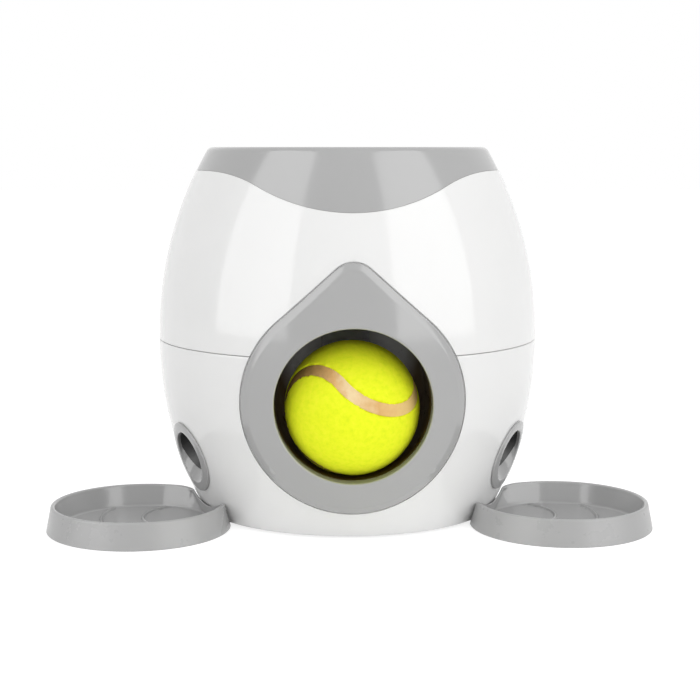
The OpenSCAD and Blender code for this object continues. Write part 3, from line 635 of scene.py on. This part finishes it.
def upper_edge(sizes, high, edge):
    """Section points that round the upper edge of a wall, from its side to its top."""
    turns = [(edge * inset, high - edge * (1 - drop)) for inset, drop in quarter()]
    return [(barrel(sizes, z) - inset, z) for inset, z in turns]


def theta_steps():
    """Angles of the columns of a revolved piece."""
    return np.linspace(0, 2 * np.pi, AROUND, endpoint=False)


class ToyOperator(bpy.types.Operator):
    """Common ground of the operators that build pieces."""

    bl_options = {"REGISTER", "UNDO"}


# Shells and top


def wave(top, x):
    """Height of the wavy edge at a distance x from the middle, as seen from the front."""
    # A hollow arc round the middle runs smoothly into an arc round the crest.
    rise = top.high - top.low
    crest = (top.half**2 + rise**2) / (2 * rise) - top.hollow
    slope = 2 * math.atan(rise / top.half)
    turn = top.hollow * math.sin(slope)
    x = np.minimum(np.abs(x), top.half)
    hollow = top.low + top.hollow - np.sqrt(top.hollow**2 - np.minimum(x, turn) ** 2)
    hump = top.high - crest + np.sqrt(np.maximum(crest**2 - (x - top.half) ** 2, 0))
    return np.where(x <= turn, hollow, hump)


def wave_on(sizes, top, theta, off=0.0):
    """Height of the wavy edge where it runs round the body grown by off."""
    rounds = 40
    z = np.full(theta.shape, top.high)
    for _ in range(rounds):
        z = wave(top, barrel(sizes, z, off) * np.sin(theta))
    return z


class TOY_OT_white_shells(ToyOperator):
    """Builds the lower and the upper shell with their openings"""

    bl_idname = "toy.white_shells"
    bl_label = "White shells"

    def openings(self, scene):
        """One object that cuts the holes of bezel, outlets and trays."""
        sizes, opening = scene.toy_body, scene.toy_opening
        outlet, tray = scene.toy_outlet, scene.toy_tray
        far, near = -130 * MM, -60 * MM
        form = Form("shell_openings")

        def hole(x, z, radius, around=48, bearing=0.0):
            """Round hole through the wall at a bearing."""
            rings = tube((x, near, z), (x, far, z), radius, around)
            form.rings(turned(rings, bearing), False, True, True)

        hole(0, opening.height, opening.bore / 2 + opening.sleeve + opening.sleeve_gap, 128)
        for x, z in bezel_bosses(opening):
            hole(x, z, opening.boss / 2 + sizes.gap)
        psi = theta_steps()
        wide = drop_radius(opening, psi, -opening.groove)
        narrow = drop_radius(opening, psi, opening.groove)
        above, below = opening.proud, -opening.groove_depth
        corners = ((wide, above), (narrow, above), (narrow, below), (wide, below))
        form.rings([drop_ring(sizes, opening, psi, radius, off) for radius, off in corners])
        half = tray.tongue / 2 + tray.gap
        low = (-half, far, tray.tongue_height - tray.gap)
        high = (half, near, tray.tongue_height + tray.tongue_thick + tray.gap)
        for _, side in SIDES:
            bearing = side * outlet.turn
            hole(0, outlet.height, outlet.plate / 2 - outlet.seat + sizes.gap, 96, bearing)
            form.add(*block(low, high, bearing))
        return form.object()

    def lower(self, sizes):
        """Section of the lower shell from the middle of its underside round to its floor."""
        foot, floor = sizes.foot, sizes.foot + sizes.floor
        top = sizes.seam - sizes.gap / 2
        flat = [r * MM for r in (1, 20, 40, 60)]
        section = [(r, foot) for r in flat]
        section += lower_edge(sizes, foot, sizes.foot_edge, steps=7)
        section += on_body(sizes, between(foot + sizes.foot_edge, top - sizes.edge, 56)[1:-1])
        section += upper_edge(sizes, top, sizes.edge)
        section += on_body(sizes, between(top, floor, 30), -sizes.wall)
        section += [(r, floor) for r in reversed(flat)]
        return section

    def upper(self, sizes, top, theta):
        """Section of the upper shell, a loop round its wall and its spigot."""
        low, wall = sizes.seam + sizes.gap / 2, sizes.wall
        wave_out = wave_on(sizes, top, theta)
        wave_in = wave_on(sizes, top, theta, -wall)
        spigot_top, spigot_foot = sizes.seam + sizes.spigot, sizes.seam - sizes.spigot
        spigot = -wall - sizes.gap
        section = lower_edge(sizes, low, sizes.edge)
        section += on_body(sizes, between(low + sizes.edge, wave_out - top.crisp, 60)[1:-1])
        section += upper_edge(sizes, wave_out, top.crisp)
        section += on_body(sizes, between(wave_in, spigot_top, 30), -wall)
        section += on_body(sizes, between(spigot_top, spigot_foot, 6), spigot - wall)
        section += on_body(sizes, between(spigot_foot, low, 5), spigot)
        return section

    def execute(self, context):
        scene = context.scene
        sizes, top = scene.toy_body, scene.toy_top
        theta = theta_steps()
        white = moulded_plastic("white_gloss", scene.toy_finish.white, 0.10, spread=0.012, milky=0.2)
        lower = Form("shell_lower").rings(revolved(self.lower(sizes), theta), False, True, True)
        upper = Form("shell_upper").rings(revolved(self.upper(sizes, top, theta), theta))
        for form, node in ((lower, "lower_shell"), (upper, "upper_shell")):
            made = cut(form.object(), self.openings(scene))
            dress(made, white, "housing", "white_shell", node)
        return {"FINISHED"}


class TOY_OT_funnel_top(ToyOperator):
    """Builds the grey top with its wavy wall, bowl, throat and skirt"""

    bl_idname = "toy.funnel_top"
    bl_label = "Funnel top"

    def outside(self, sizes, top, low):
        """Section points up the wall from its wavy edge and over the rounded rim."""
        step, side = -top.step, sizes.side - top.step
        rim_z = sizes.height - top.rim
        rise, reach = rim_z - sizes.seam, side - top.rim
        rim_r = sizes.width / 2 - sizes.side + math.sqrt(reach**2 - rise**2)
        lean = math.asin(rise / reach)
        tangent = sizes.seam + side * math.sin(lean)
        points = lower_edge(sizes, low, top.crisp, step)
        points += on_body(sizes, between(low + top.crisp, tangent, 26)[1:], step)
        for a in np.linspace(lean, math.pi / 2, 12)[1:]:
            points.append((rim_r + top.rim * math.cos(a), rim_z + top.rim * math.sin(a)))
        return points

    def bowl(self, sizes, top):
        """Section points down the bowl, through the throat and out along the bowl's underside."""
        mouth_z, throat, lip = sizes.height - top.mouth_drop, top.throat / 2, top.lip
        # The bowl is part of a ball whose face meets the mouth and the edge of the throat.
        squares = top.mouth**2 - throat**2 + mouth_z**2 - top.throat_height**2
        middle = squares / (2 * (mouth_z - top.throat_height))
        radius = math.hypot(throat, middle - top.throat_height)

        def round_face(start, end, radius, count):
            """Points on a ball-shaped face between two distances from the axis."""
            return [(r, middle - math.sqrt(radius**2 - r**2)) for r in np.linspace(start, end, count)]

        points = round_face(top.mouth - top.mouth_edge, throat + lip, radius, 40)
        brink = points[-1][1]
        for a in np.linspace(0, math.pi / 2, 6)[1:]:
            points.append((throat + lip * (1 - math.sin(a)), brink - lip * (1 - math.cos(a))))
        spigot = throat + sizes.wall + sizes.gap
        points += [(throat, top.spigot_foot), (spigot, top.spigot_foot)]
        under = radius + top.bowl_wall
        end = math.sqrt(under**2 - (middle - sizes.height + sizes.wall) ** 2)
        return points + round_face(spigot, end, under, 24)

    def skirt(self, sizes, top, low):
        """Section points down inside the wall and round the skirt, back to the wavy edge."""
        inner = -top.step - sizes.wall
        outside = barrel(sizes, top.high) - sizes.wall - top.skirt_gap
        inside = outside - top.bowl_wall
        foot = top.high - top.skirt

        def meets(r):
            """Height at which the inside of the wall has the radius r."""
            aside = r - sizes.width / 2 + sizes.side
            return sizes.seam + math.sqrt((sizes.side + inner) ** 2 - aside**2)

        points = on_body(sizes, between(sizes.height - sizes.wall, meets(inside), 5), inner)
        joint = np.maximum(meets(outside), low)
        points += [(inside, foot), (outside, foot), (outside, joint)]
        for z in between(joint, low, 10)[1:]:
            points.append((np.maximum(barrel(sizes, z, inner), outside), z))
        return points

    def execute(self, context):
        scene = context.scene
        sizes, top = scene.toy_body, scene.toy_top
        theta = theta_steps()
        low = wave_on(sizes, top, theta, -top.step) + top.joint
        low_inside = wave_on(sizes, top, theta, -top.step - sizes.wall) + top.joint
        section = self.outside(sizes, top, low) + self.bowl(sizes, top)
        section += self.skirt(sizes, top, low_inside)
        made = Form("funnel_top").rings(revolved(section, theta)).object()
        dress(made, grey_gloss(scene.toy_finish), "lid", "grey_trim", "top_funnel")
        return {"FINISHED"}


# Front bezel


def bezel_bosses(opening):
    """Places of the bezel's screw bosses as seen from the front."""
    ring, turn = opening.bore / 2 + opening.boss_ring, opening.boss_turn
    places = [(0.0, opening.height + opening.tip_rise - opening.boss_drop)]
    for side in (-1, 1):
        places.append((side * ring * math.cos(turn), opening.height - ring * math.sin(turn)))
    return places


def drop_radius(opening, psi, inset):
    """Distance from the middle of the opening to the drop outline; psi is measured from the tip."""
    big, small = opening.bezel / 2 - inset, opening.tip / 2 - inset
    psi = np.abs((psi + np.pi) % (2 * np.pi) - np.pi)
    # The straight flank runs from the round part at touch to the tip's arc at tip.
    touch = math.acos((opening.bezel - opening.tip) / 2 / opening.tip_rise)
    tip = math.atan2(small * math.sin(touch), opening.tip_rise + small * math.cos(touch))
    line = big / np.cos(np.minimum(psi, touch) - touch)
    reach = small**2 - (opening.tip_rise * np.sin(np.minimum(psi, tip))) ** 2
    arc = opening.tip_rise * np.cos(psi) + np.sqrt(np.maximum(reach, 0))
    return np.where(psi >= touch, big, np.where(psi >= tip, line, arc))


def drop_ring(sizes, opening, psi, radius, off):
    """Ring round the opening that lies on the body grown by off."""
    x = radius * np.sin(psi)
    z = opening.height + radius * np.cos(psi)
    return np.stack([x, -np.sqrt(barrel(sizes, z, off) ** 2 - x**2), z], axis=-1)


class TOY_OT_front_bezel(ToyOperator):
    """Builds the drop-shaped bezel with its sleeve and screw bosses"""

    bl_idname = "toy.front_bezel"
    bl_label = "Front bezel"

    def rings(self, sizes, opening):
        """Rings from the outer edge over the bevel and the face, and back along the sleeve."""
        psi = theta_steps()
        bore = opening.bore / 2
        sleeve, back = bore + opening.sleeve, -opening.sleeve_end
        foot = opening.proud - opening.bevel_drop
        bow = 1.3

        def lying(radius, off):
            """Ring on the body grown by off."""
            return drop_ring(sizes, opening, psi, radius, off)

        def upright(radius, y):
            """Ring in a plane across the opening."""
            x = radius * np.sin(psi)
            z = opening.height + radius * np.cos(psi)
            return np.stack([x, np.broadcast_to(y, psi.shape), z], axis=-1)

        outline = drop_radius(opening, psi, 0)
        rings = [lying(outline, sizes.gap)]
        for inset, rise in quarter():
            off = foot - opening.edge * (1 - rise)
            rings.append(lying(drop_radius(opening, psi, opening.edge * inset), off))
        for share in np.linspace(0, 1, 10)[1:]:
            inset = opening.edge + share * (opening.bevel - opening.edge)
            off = foot + opening.bevel_drop * (1 - (1 - share) ** bow)
            rings.append(lying(drop_radius(opening, psi, inset), off))
        face = between(drop_radius(opening, psi, opening.bevel), bore + opening.lip, 26)
        rings += [lying(radius, opening.proud) for radius in face[1:]]
        for inset, fall in quarter(6)[1:]:
            off = opening.proud - opening.lip * inset
            rings.append(lying(bore + opening.lip * (1 - fall), off))
        rings += [upright(bore, y) for y in between(rings[-1][:, 1], back, 8)[1:]]
        rings.append(upright(sleeve, back))
        rings += [lying(radius, sizes.gap) for radius in between(sleeve, outline, 12)[:-1]]
        return rings

    def execute(self, context):
        scene = context.scene
        sizes, opening = scene.toy_body, scene.toy_opening
        form = Form("bezel_drop").rings(self.rings(sizes, opening))
        for x, z in bezel_bosses(opening):
            start = -math.sqrt(barrel(sizes, z, opening.proud / 2) ** 2 - x**2)
            end = -math.sqrt((barrel(sizes, z) - sizes.wall - sizes.gap) ** 2 - x**2)
            form.rings(tube((x, start, z), (x, end, z), opening.boss / 2), False, True, True)
        grey = grey_gloss(scene.toy_finish)
        dress(form.object(), grey, "housing", "grey_trim", "front_bezel")
        return {"FINISHED"}


# Treat outlets


class TOY_OT_treat_outlets(ToyOperator):
    """Builds the two outlet plates with their dished holes"""

    bl_idname = "toy.treat_outlets"
    bl_label = "Treat outlets"

    def rings(self, sizes, outlet, phi):
        """Rings over the plate and into the duct, and the number of the first one painted with shade."""
        surface = barrel(sizes, outlet.height)
        across = np.array([1.0, 0.0, 0.0])
        upright = np.array([0.0, -math.sin(outlet.fall), math.cos(outlet.fall)])

        def lying(wide, off, high=None, lift=0.0):
            """Round or oval ring that lies on the body grown by off."""
            x = wide * np.sin(phi)
            z = outlet.height + lift + (high or wide) * np.cos(phi)
            return np.stack([x, -np.sqrt(barrel(sizes, z, off) ** 2 - x**2), z], axis=-1)

        def duct(radius, out):
            """Ring across the falling duct at a distance from the axis."""
            rise = outlet.lift + (surface - out) * math.tan(outlet.fall)
            ring = np.outer(np.sin(phi), across) + np.outer(np.cos(phi), upright)
            return np.array([0, -out, outlet.height + rise]) + radius * ring

        plate, dished, brim, proud = outlet.plate / 2, outlet.dished / 2, outlet.brim, outlet.proud
        rings = [lying(plate, sizes.gap)]
        for inset, rise in quarter():
            rings.append(lying(plate - outlet.edge * inset, proud - outlet.edge * (1 - rise)))
        rings += [lying(dished + brim, proud), lying(dished, proud - outlet.brim_drop)]
        deep = outlet.mouth_depth + outlet.ramp_depth * np.maximum(-np.cos(phi), 0)
        mouth = lying(outlet.mouth / 2, -deep, outlet.mouth_height / 2, outlet.mouth_lift)
        rings += between(lying(dished - brim, proud - brim), mouth, 9)
        # From this ring on, the mouth and the duct's end carry the painted shade.
        painted_shade_from = len(rings) - 1
        rings.append(duct(outlet.bore / 2, outlet.inner))
        rings.append(duct(outlet.bore / 2 + outlet.wall, outlet.inner))
        rings.append(lying(plate - outlet.seat, -sizes.wall - sizes.gap))
        rings.append(lying(plate - outlet.seat, sizes.gap))
        return np.array(rings), painted_shade_from

    def execute(self, context):
        scene = context.scene
        outlet = scene.toy_outlet
        phi = np.linspace(0, 2 * np.pi, 160, endpoint=False)
        rings, painted_shade_from = self.rings(scene.toy_body, outlet, phi)
        first = painted_shade_from * len(phi)
        grey, shade = grey_gloss(scene.toy_finish), duct_painted_shade(scene.toy_finish)
        for name, side in SIDES:
            form = Form(f"outlet_{name}").rings(turned(rings, side * outlet.turn))
            made = dress(form.object(), grey, "housing", "grey_trim", f"{name}_outlet")
            made.data.materials.append(shade)
            for face in made.data.polygons:
                if first <= min(face.vertices) and max(face.vertices) < first + 2 * len(phi):
                    face.material_index = 1
        return {"FINISHED"}


# Trays


class TrayRings:
    """Rings of a tray in front of the body, round the tray's middle; phi 0 points to the body."""

    def __init__(self, sizes, tray):
        self.sizes, self.tray = sizes, tray
        self.phi = np.linspace(0, 2 * np.pi, 480, endpoint=False)
        self.half, self.top = self.rim()

    def reach(self, radius, off, z):
        """Reach from the tray's middle to its round side or to the body grown by off."""
        tray, far = self.tray, 1.0
        near = barrel(self.sizes, z, off)
        along, aside = tray.out * np.cos(self.phi), tray.out * np.abs(np.sin(self.phi))
        to_body = along - np.sqrt(np.maximum(near**2 - aside**2, 0))
        to_body = np.where((along > 0) & (aside < near), to_body, far)
        # The smaller of the two, with the corner between them rounded.
        gap = np.clip(0.5 + 0.5 * (to_body - radius) / tray.blend, 0, 1)
        return to_body * (1 - gap) + radius * gap - tray.blend * gap * (1 - gap)

    def circle(self, reach, z):
        """Ring at a reach from the tray's middle."""
        x, y = reach * np.sin(self.phi), -self.tray.out + reach * np.cos(self.phi)
        return np.stack([x, y, np.broadcast_to(z, self.phi.shape)], axis=-1)

    def ring(self, radius, off, z):
        """Ring along the round side and along the body grown by off and the tray's gap."""
        return self.circle(self.reach(radius, self.tray.gap + off, z), z)

    def rim(self):
        """Half width of the rim and height of its middle, which both fall beside the body."""
        tray, dip_reach = self.tray, 1.5
        half = tray.rim_width / 2
        outline = self.reach(tray.rim - half, tray.gap + half, tray.height - half)
        inward = np.clip((tray.rim - half - outline) / tray.narrowing, 0, 1)
        aside = np.abs(outline * np.sin(self.phi))
        corner = dip_reach * aside[inward > 0.99].max()
        share = np.clip(aside / corner, 0, 1)
        dip = (tray.height - tray.sill) * (0.5 + 0.5 * np.cos(np.pi * share))
        half = half + inward * (tray.sill_edge / 2 - half)
        return half, tray.height - half - np.where(np.cos(self.phi) > 0, dip, 0)

    def underside(self):
        """Rings from the middle of the recessed underside to the edge that stands on the floor."""
        tray, middle = self.tray, 1 * MM
        standing = self.ring(tray.foot - tray.standing, tray.standing, 0.0)
        recessed = standing + np.array([0.0, 0.0, tray.recess])
        edge = self.ring(tray.foot - tray.chamfer, tray.chamfer, 0.0)
        return [self.circle(middle, tray.recess), recessed, standing, edge]

    def wall(self):
        """Rings up the side, over the rim and down to the bottom of the dish."""
        tray, half, top = self.tray, self.half, self.top
        side = zip(between(tray.foot, tray.rim, 10), between(tray.chamfer, top, 10))
        rings = [self.ring(radius, 0.0, z) for radius, z in side]
        for a in np.linspace(0, math.pi, 13)[1:]:
            inset = half * (1 - math.cos(a))
            rings.append(self.ring(tray.rim - inset, inset, top + half * math.sin(a)))
        dish, wall = tray.dish + tray.dish_spread, tray.wall + tray.wall_growth
        inside = zip(
            between(tray.rim - 2 * half, dish, 10),
            between(2 * half, wall, 10),
            between(top, tray.dish_height + tray.fillet, 10),
        )
        rings += [self.ring(*steps) for steps in inside][1:]
        for a in np.linspace(0, math.pi / 2, 7)[1:]:
            inset = tray.fillet * (1 - math.cos(a))
            z = tray.dish_height + tray.fillet * (1 - math.sin(a))
            rings.append(self.ring(dish - inset, wall + inset, z))
        return rings

    def bottom(self, brink):
        """Rings from the brink of the bottom to its middle, with two ripples."""
        tray, fade_out = self.tray, 0.05
        centre = np.array([0.0, -tray.out, tray.dish_height])
        rings = []
        for share in np.linspace(0, 1, 90)[1:-1]:
            flat = brink + (centre - brink) * share
            away = np.hypot(flat[:, 0], flat[:, 1] + tray.ripple_out)
            fade = min(1.0, share / fade_out)
            for radius in (tray.ripple, tray.ripple + tray.ripple_step):
                near = (away - radius) / tray.ripple_width
                flat[:, 2] += tray.ripple_height * np.sqrt(np.maximum(1 - near**2, 0)) * fade
            rings.append(flat)
        return rings

    def skin(self):
        """All the rings, from the middle of the underside to the middle of the dish."""
        wall = self.wall()
        return np.array(self.underside() + wall + self.bottom(wall[-1]))


class TOY_OT_treat_trays(ToyOperator):
    """Builds the two round trays with their rims, ripples and tongues"""

    bl_idname = "toy.treat_trays"
    bl_label = "Treat trays"

    def execute(self, context):
        scene = context.scene
        sizes, tray = scene.toy_body, scene.toy_tray
        skin = TrayRings(sizes, tray).skin()
        grey = grey_gloss(scene.toy_finish)
        satin = moulded_plastic("grey_satin", scene.toy_finish.grey, 0.3, spread=0.02)
        root = tray.gap + tray.wall / 2
        start = -barrel(sizes, tray.tongue_height) - root
        low = (-tray.tongue / 2, start, tray.tongue_height)
        high = (tray.tongue / 2, start + tray.tongue_in + root, tray.tongue_height + tray.tongue_thick)
        for name, side in SIDES:
            bearing = side * scene.toy_outlet.turn
            form = Form(f"tray_{name}")
            form.rings(turned(skin, bearing), False, True, True)
            form.add(*block(low, high, bearing))
            made = dress(form.object(sharp=40.0), grey, f"tray_{name}", "grey_trim", f"{name}_tray")
            made.data.materials.append(satin)
            middle = Vector(turned(np.array((0.0, -tray.out, 0.0)), bearing))
            for face in made.data.polygons:
                away = (face.center - middle).xy.length
                face.material_index = int(away > tray.rim - tray.rim_width / 2)
        return {"FINISHED"}


# Ball


def seam_line(steps=180):
    """Closed seam line of a ball of radius 1, as four half rings that run into each other."""
    k = 1 / math.sqrt(2)
    a = np.linspace(0, np.pi, steps, endpoint=False)
    zero = np.zeros_like(a)
    up, down = k * np.sin(a), -k * np.sin(a)
    along, back = k * np.cos(a), -k * np.cos(a)
    return np.concatenate([
        np.stack([zero + k, along, up], axis=-1),
        np.stack([along, zero - k, down], axis=-1),
        np.stack([zero - k, back, up], axis=-1),
        np.stack([back, zero + k, down], axis=-1),
    ])


class TOY_OT_play_ball(ToyOperator):
    """Builds the felt ball with its uneven felt and its seam"""

    bl_idname = "toy.play_ball"
    bl_label = "Play ball"

    def felt(self, ball, line):
        """Felt of a ball round the origin, which ends raggedly along the seam line."""
        radius, count = ball.width / 2, 28
        tree = KDTree(len(line))
        for i, p in enumerate(line):
            tree.insert(p * radius, i)
        tree.balance()
        form = bmesh.new()
        bmesh.ops.create_icosphere(form, subdivisions=7, radius=1.0)
        rng = np.random.default_rng(7)
        waves = rng.normal(size=(count, 3)) * rng.uniform(20, 90, size=(count, 1))
        phase = rng.uniform(0, 2 * np.pi, count)
        groove = radius - ball.groove
        start = ball.seam / 2 - ball.overlap
        for v in form.verts:
            way = v.co.normalized()
            away = tree.find(way * radius)[2]
            rough = float(np.sin(waves @ np.array(way) + phase).sum()) / count
            bank = min(1.0, max(0.0, (away - start + ball.ragged * rough) / ball.bank))
            bank = bank * bank * (3 - 2 * bank)
            felt = radius - ball.nap * (0.5 - 0.9 * rough)
            v.co = way * min(radius, groove + (felt - groove) * bank)
        mesh = bpy.data.meshes.new("ball_felt")
        form.to_mesh(mesh)
        form.free()
        mesh.shade_smooth()
        return mesh

    def strip(self, ball, line):
        """Rings of the crowned seam strip of a ball round the origin."""
        # Shares of the seam's half width, and depths below the felt in millimetres.
        edge = ((1, 1.4), (1, 0.75), (0.94, 0.62), (0.7, 0.52), (0.35, 0.46))
        crown = (0, 0.44)
        profile = [(-wide, deep) for wide, deep in edge] + [crown] + list(reversed(edge))
        ahead = np.roll(line, -1, axis=0) - np.roll(line, 1, axis=0)
        ahead /= np.linalg.norm(ahead, axis=1, keepdims=True)
        across = np.cross(ahead, line) * ball.seam / 2
        return np.array([line * (ball.width / 2 - deep * MM) + across * wide for wide, deep in profile])

    def execute(self, context):
        scene = context.scene
        ball, tones = scene.toy_ball, scene.toy_finish
        turn = Euler(ball.turn).to_matrix().to_4x4()
        place = Matrix.Translation((0, -ball.forward, ball.height)) @ turn
        line = seam_line()

        mesh = self.felt(ball, line)
        mesh.transform(place)
        felt = bpy.data.objects.new("ball_felt", mesh)
        scene.collection.objects.link(felt)
        dress(felt, ball_felt("lime_felt", tones.felt), "play_ball", "ball_felt", "ball")

        strip = self.strip(ball, line) @ np.array(place.to_3x3()).T + np.array(place.translation)
        seam = Form("ball_seam_strip").rings(strip).object(sharp=50.0)
        # The seam's rubber carries painted shade and a painted highlight.
        rubber = seam_painted_light("tan_rubber", tones.seam, ball.width / 2)
        dress(seam, rubber, "play_ball", "ball_rubber", "ball_seam")
        return {"FINISHED"}


# Inner works and studio


class TOY_OT_inner_works(ToyOperator):
    """Gives the chute, hopper, ducts and trip their finishes"""

    bl_idname = "toy.inner_works"
    bl_label = "Inner works"

    def execute(self, context):
        tones = context.scene.toy_finish
        # The chute gets painted shade, dark brown at the front, and keeps its own grey towards the back.
        shade_from, shade_to = -8 * MM, 14 * MM
        chute = chute_painted_shade("chute_painted_shade", tones.chute_shade, tones.chute, shade_from, shade_to)
        inner = moulded_plastic("grey_inner", tones.inner, 0.42, 0.03 * MM, 0.05)
        pale = moulded_plastic("pale_inner", tones.pale, 0.4, 0.02 * MM, 0.03)
        black = moulded_plastic("black_paddle", tones.black, 0.4, 0.03 * MM, 0.2)
        steel = brushed_steel("plated_steel", tones.steel)
        rubber = soft_rubber("foot_rubber", tones.black)
        finishes = (
            (chute, ("ball_trough", "chute_hood")),
            (inner, ("treat_hopper", "drop_tube")),
            # The treat ducts get the near-black painted shade.
            (duct_painted_shade(tones), ("left_treat_duct", "right_treat_duct")),
            (pale, ("left_dosing_drum", "right_dosing_drum", "shaft_bushes")),
            (black, ("trip_paddle",)),
            (steel, ("trip_shaft", "counterweight", "shaft_clips", "drive_pins",
                     "chute_screws", "hopper_screws", "bezel_screws")),
            (rubber, ("rubber_feet",)),
        )
        for material, nodes in finishes:
            for node in nodes:
                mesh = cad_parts[node].data
                mesh.materials.clear()
                mesh.materials.append(material)
        return {"FINISHED"}


class TOY_OT_studio(ToyOperator):
    """Builds the floor, the softboxes, the white surroundings and the camera"""

    bl_idname = "toy.studio"
    bl_label = "Studio"

    def softbox(self, scene, name, size, glow, place, turn, shine=False):
        """Area light of a size and glow; one with shine shows only in glossy surfaces."""
        data = bpy.data.lights.new(name, "AREA")
        data.shape = "RECTANGLE"
        data.size, data.size_y = size
        data.energy = glow * math.pi * size[0] * size[1]
        lamp = bpy.data.objects.new(name, data)
        lamp.location = place
        lamp.rotation_euler = turn
        lamp.visible_camera = False
        lamp.visible_diffuse = not shine
        lamp.visible_glossy = shine
        scene.collection.objects.link(lamp)

    def upright(self, scene, name, bearing, distance, width, low, high, glow, shine=False):
        """Softbox that stands at a bearing from the front and faces the axis of the toy."""
        a = math.radians(bearing)
        place = (distance * math.sin(a), -distance * math.cos(a), (low + high) / 2)
        turn = (math.radians(90), 0, a)
        self.softbox(scene, name, (width, high - low), glow, place, turn, shine)

    def world(self, scene):
        """Plain white to the camera and in reflections, a soft light otherwise."""
        world = bpy.data.worlds.new("studio_white")
        world.use_nodes = True
        world.node_tree.nodes.clear()
        nodes = Nodes(world.node_tree)
        inputs = {"Fac": nodes.background_share()}
        soft, plain = 0.59, 1.0
        for socket, strength in ((1, soft), (2, plain)):
            white = nodes.add("ShaderNodeBackground", {"Color": (1, 1, 1, 1), "Strength": strength})
            inputs[socket] = white.outputs["Background"]
        mix = nodes.add("ShaderNodeMixShader", inputs)
        nodes.add("ShaderNodeOutputWorld", {"Surface": mix.outputs["Shader"]})
        scene.world = world

    def camera(self, scene):
        """Camera that was fitted to the ball, the opening, the trays and the outline."""
        pitch, bearing = math.radians(7.586), math.radians(1.791)
        level = math.cos(pitch)
        ahead = Vector((math.sin(bearing) * level, math.cos(bearing) * level, -math.sin(pitch)))
        data = bpy.data.cameras.new("camera")
        data.lens, data.sensor_width = 78.39, 36.0
        data.shift_x = 0.0036
        camera = bpy.data.objects.new("camera", data)
        camera.location = (-0.02532, -0.80973, 0.19149)
        camera.rotation_euler = ahead.to_track_quat("-Z", "Y").to_euler()
        scene.collection.objects.link(camera)
        scene.camera = camera

    def lamps(self, scene):
        """Two reflections on the shells, a lamp at either side of the front and one overhead."""
        self.upright(scene, "shine_left", bearing=-59, distance=1.3, width=1.16, low=0.05, high=2.3,
                     glow=2.25, shine=True)
        self.upright(scene, "shine_right", bearing=51, distance=1.3, width=1.23, low=0.05, high=2.3,
                     glow=2.05, shine=True)
        self.upright(scene, "fill_left", bearing=-38, distance=1.6, width=1.2, low=0.0, high=0.8,
                     glow=1.0)
        self.upright(scene, "key_right", bearing=45, distance=1.6, width=1.2, low=0.0, high=1.5,
                     glow=1.28)
        self.softbox(scene, "overhead", (2.0, 2.0), glow=0.9, place=(0.0, -0.4, 1.9), turn=(0, 0, 0))

    def execute(self, context):
        scene = context.scene
        scene.view_settings.view_transform = "Standard"
        half = 6.0
        corners = [(-half, -half, 0), (half, -half, 0), (half, half, 0), (-half, half, 0)]
        floor = Form("studio_floor").add(corners, [(0, 1, 2, 3)]).object()
        floor.data.materials.append(pale_floor("studio_floor", scene.toy_finish.floor))
        self.lamps(scene)
        self.world(scene)
        self.camera(scene)
        return {"FINISHED"}


# Panel and registration


class TOY_PT_builder(bpy.types.Panel):
    """Lists the sizes, colours and build steps of the toy"""

    bl_idname = "TOY_PT_builder"
    bl_label = "Ball return toy"
    bl_space_type = "VIEW_3D"
    bl_region_type = "UI"
    bl_category = "Ball toy"

    def draw(self, context):
        column = self.layout.column(align=True)
        for operator in OPERATORS:
            column.operator(operator.bl_idname)
        for attribute, group in GROUPS:
            box = self.layout.box()
            box.label(text=group.__doc__)
            for key in group.__annotations__:
                box.prop(getattr(context.scene, attribute), key)


GROUPS = (
    ("toy_body", BodySizes),
    ("toy_top", TopSizes),
    ("toy_opening", OpeningSizes),
    ("toy_outlet", OutletSizes),
    ("toy_tray", TraySizes),
    ("toy_ball", BallSizes),
    ("toy_finish", Finishes),
)
OPERATORS = (
    TOY_OT_white_shells,
    TOY_OT_funnel_top,
    TOY_OT_front_bezel,
    TOY_OT_treat_outlets,
    TOY_OT_treat_trays,
    TOY_OT_play_ball,
    TOY_OT_inner_works,
    TOY_OT_studio,
)


def register():
    """Registers the sizes, the operators and the panel."""
    for attribute, group in GROUPS:
        bpy.utils.register_class(group)
        setattr(bpy.types.Scene, attribute, PointerProperty(type=group))
    for cls in (*OPERATORS, TOY_PT_builder):
        bpy.utils.register_class(cls)


def unregister():
    """Takes back what register did."""
    for cls in (TOY_PT_builder, *reversed(OPERATORS)):
        bpy.utils.unregister_class(cls)
    for attribute, group in reversed(GROUPS):
        delattr(bpy.types.Scene, attribute)
        bpy.utils.unregister_class(group)


def main():
    """Builds the toy and its studio."""
    register()
    bpy.ops.toy.white_shells()
    bpy.ops.toy.funnel_top()
    bpy.ops.toy.front_bezel()
    bpy.ops.toy.treat_outlets()
    bpy.ops.toy.treat_trays()
    bpy.ops.toy.play_ball()
    bpy.ops.toy.inner_works()
    bpy.ops.toy.studio()


if __name__ == "__main__":
    main()
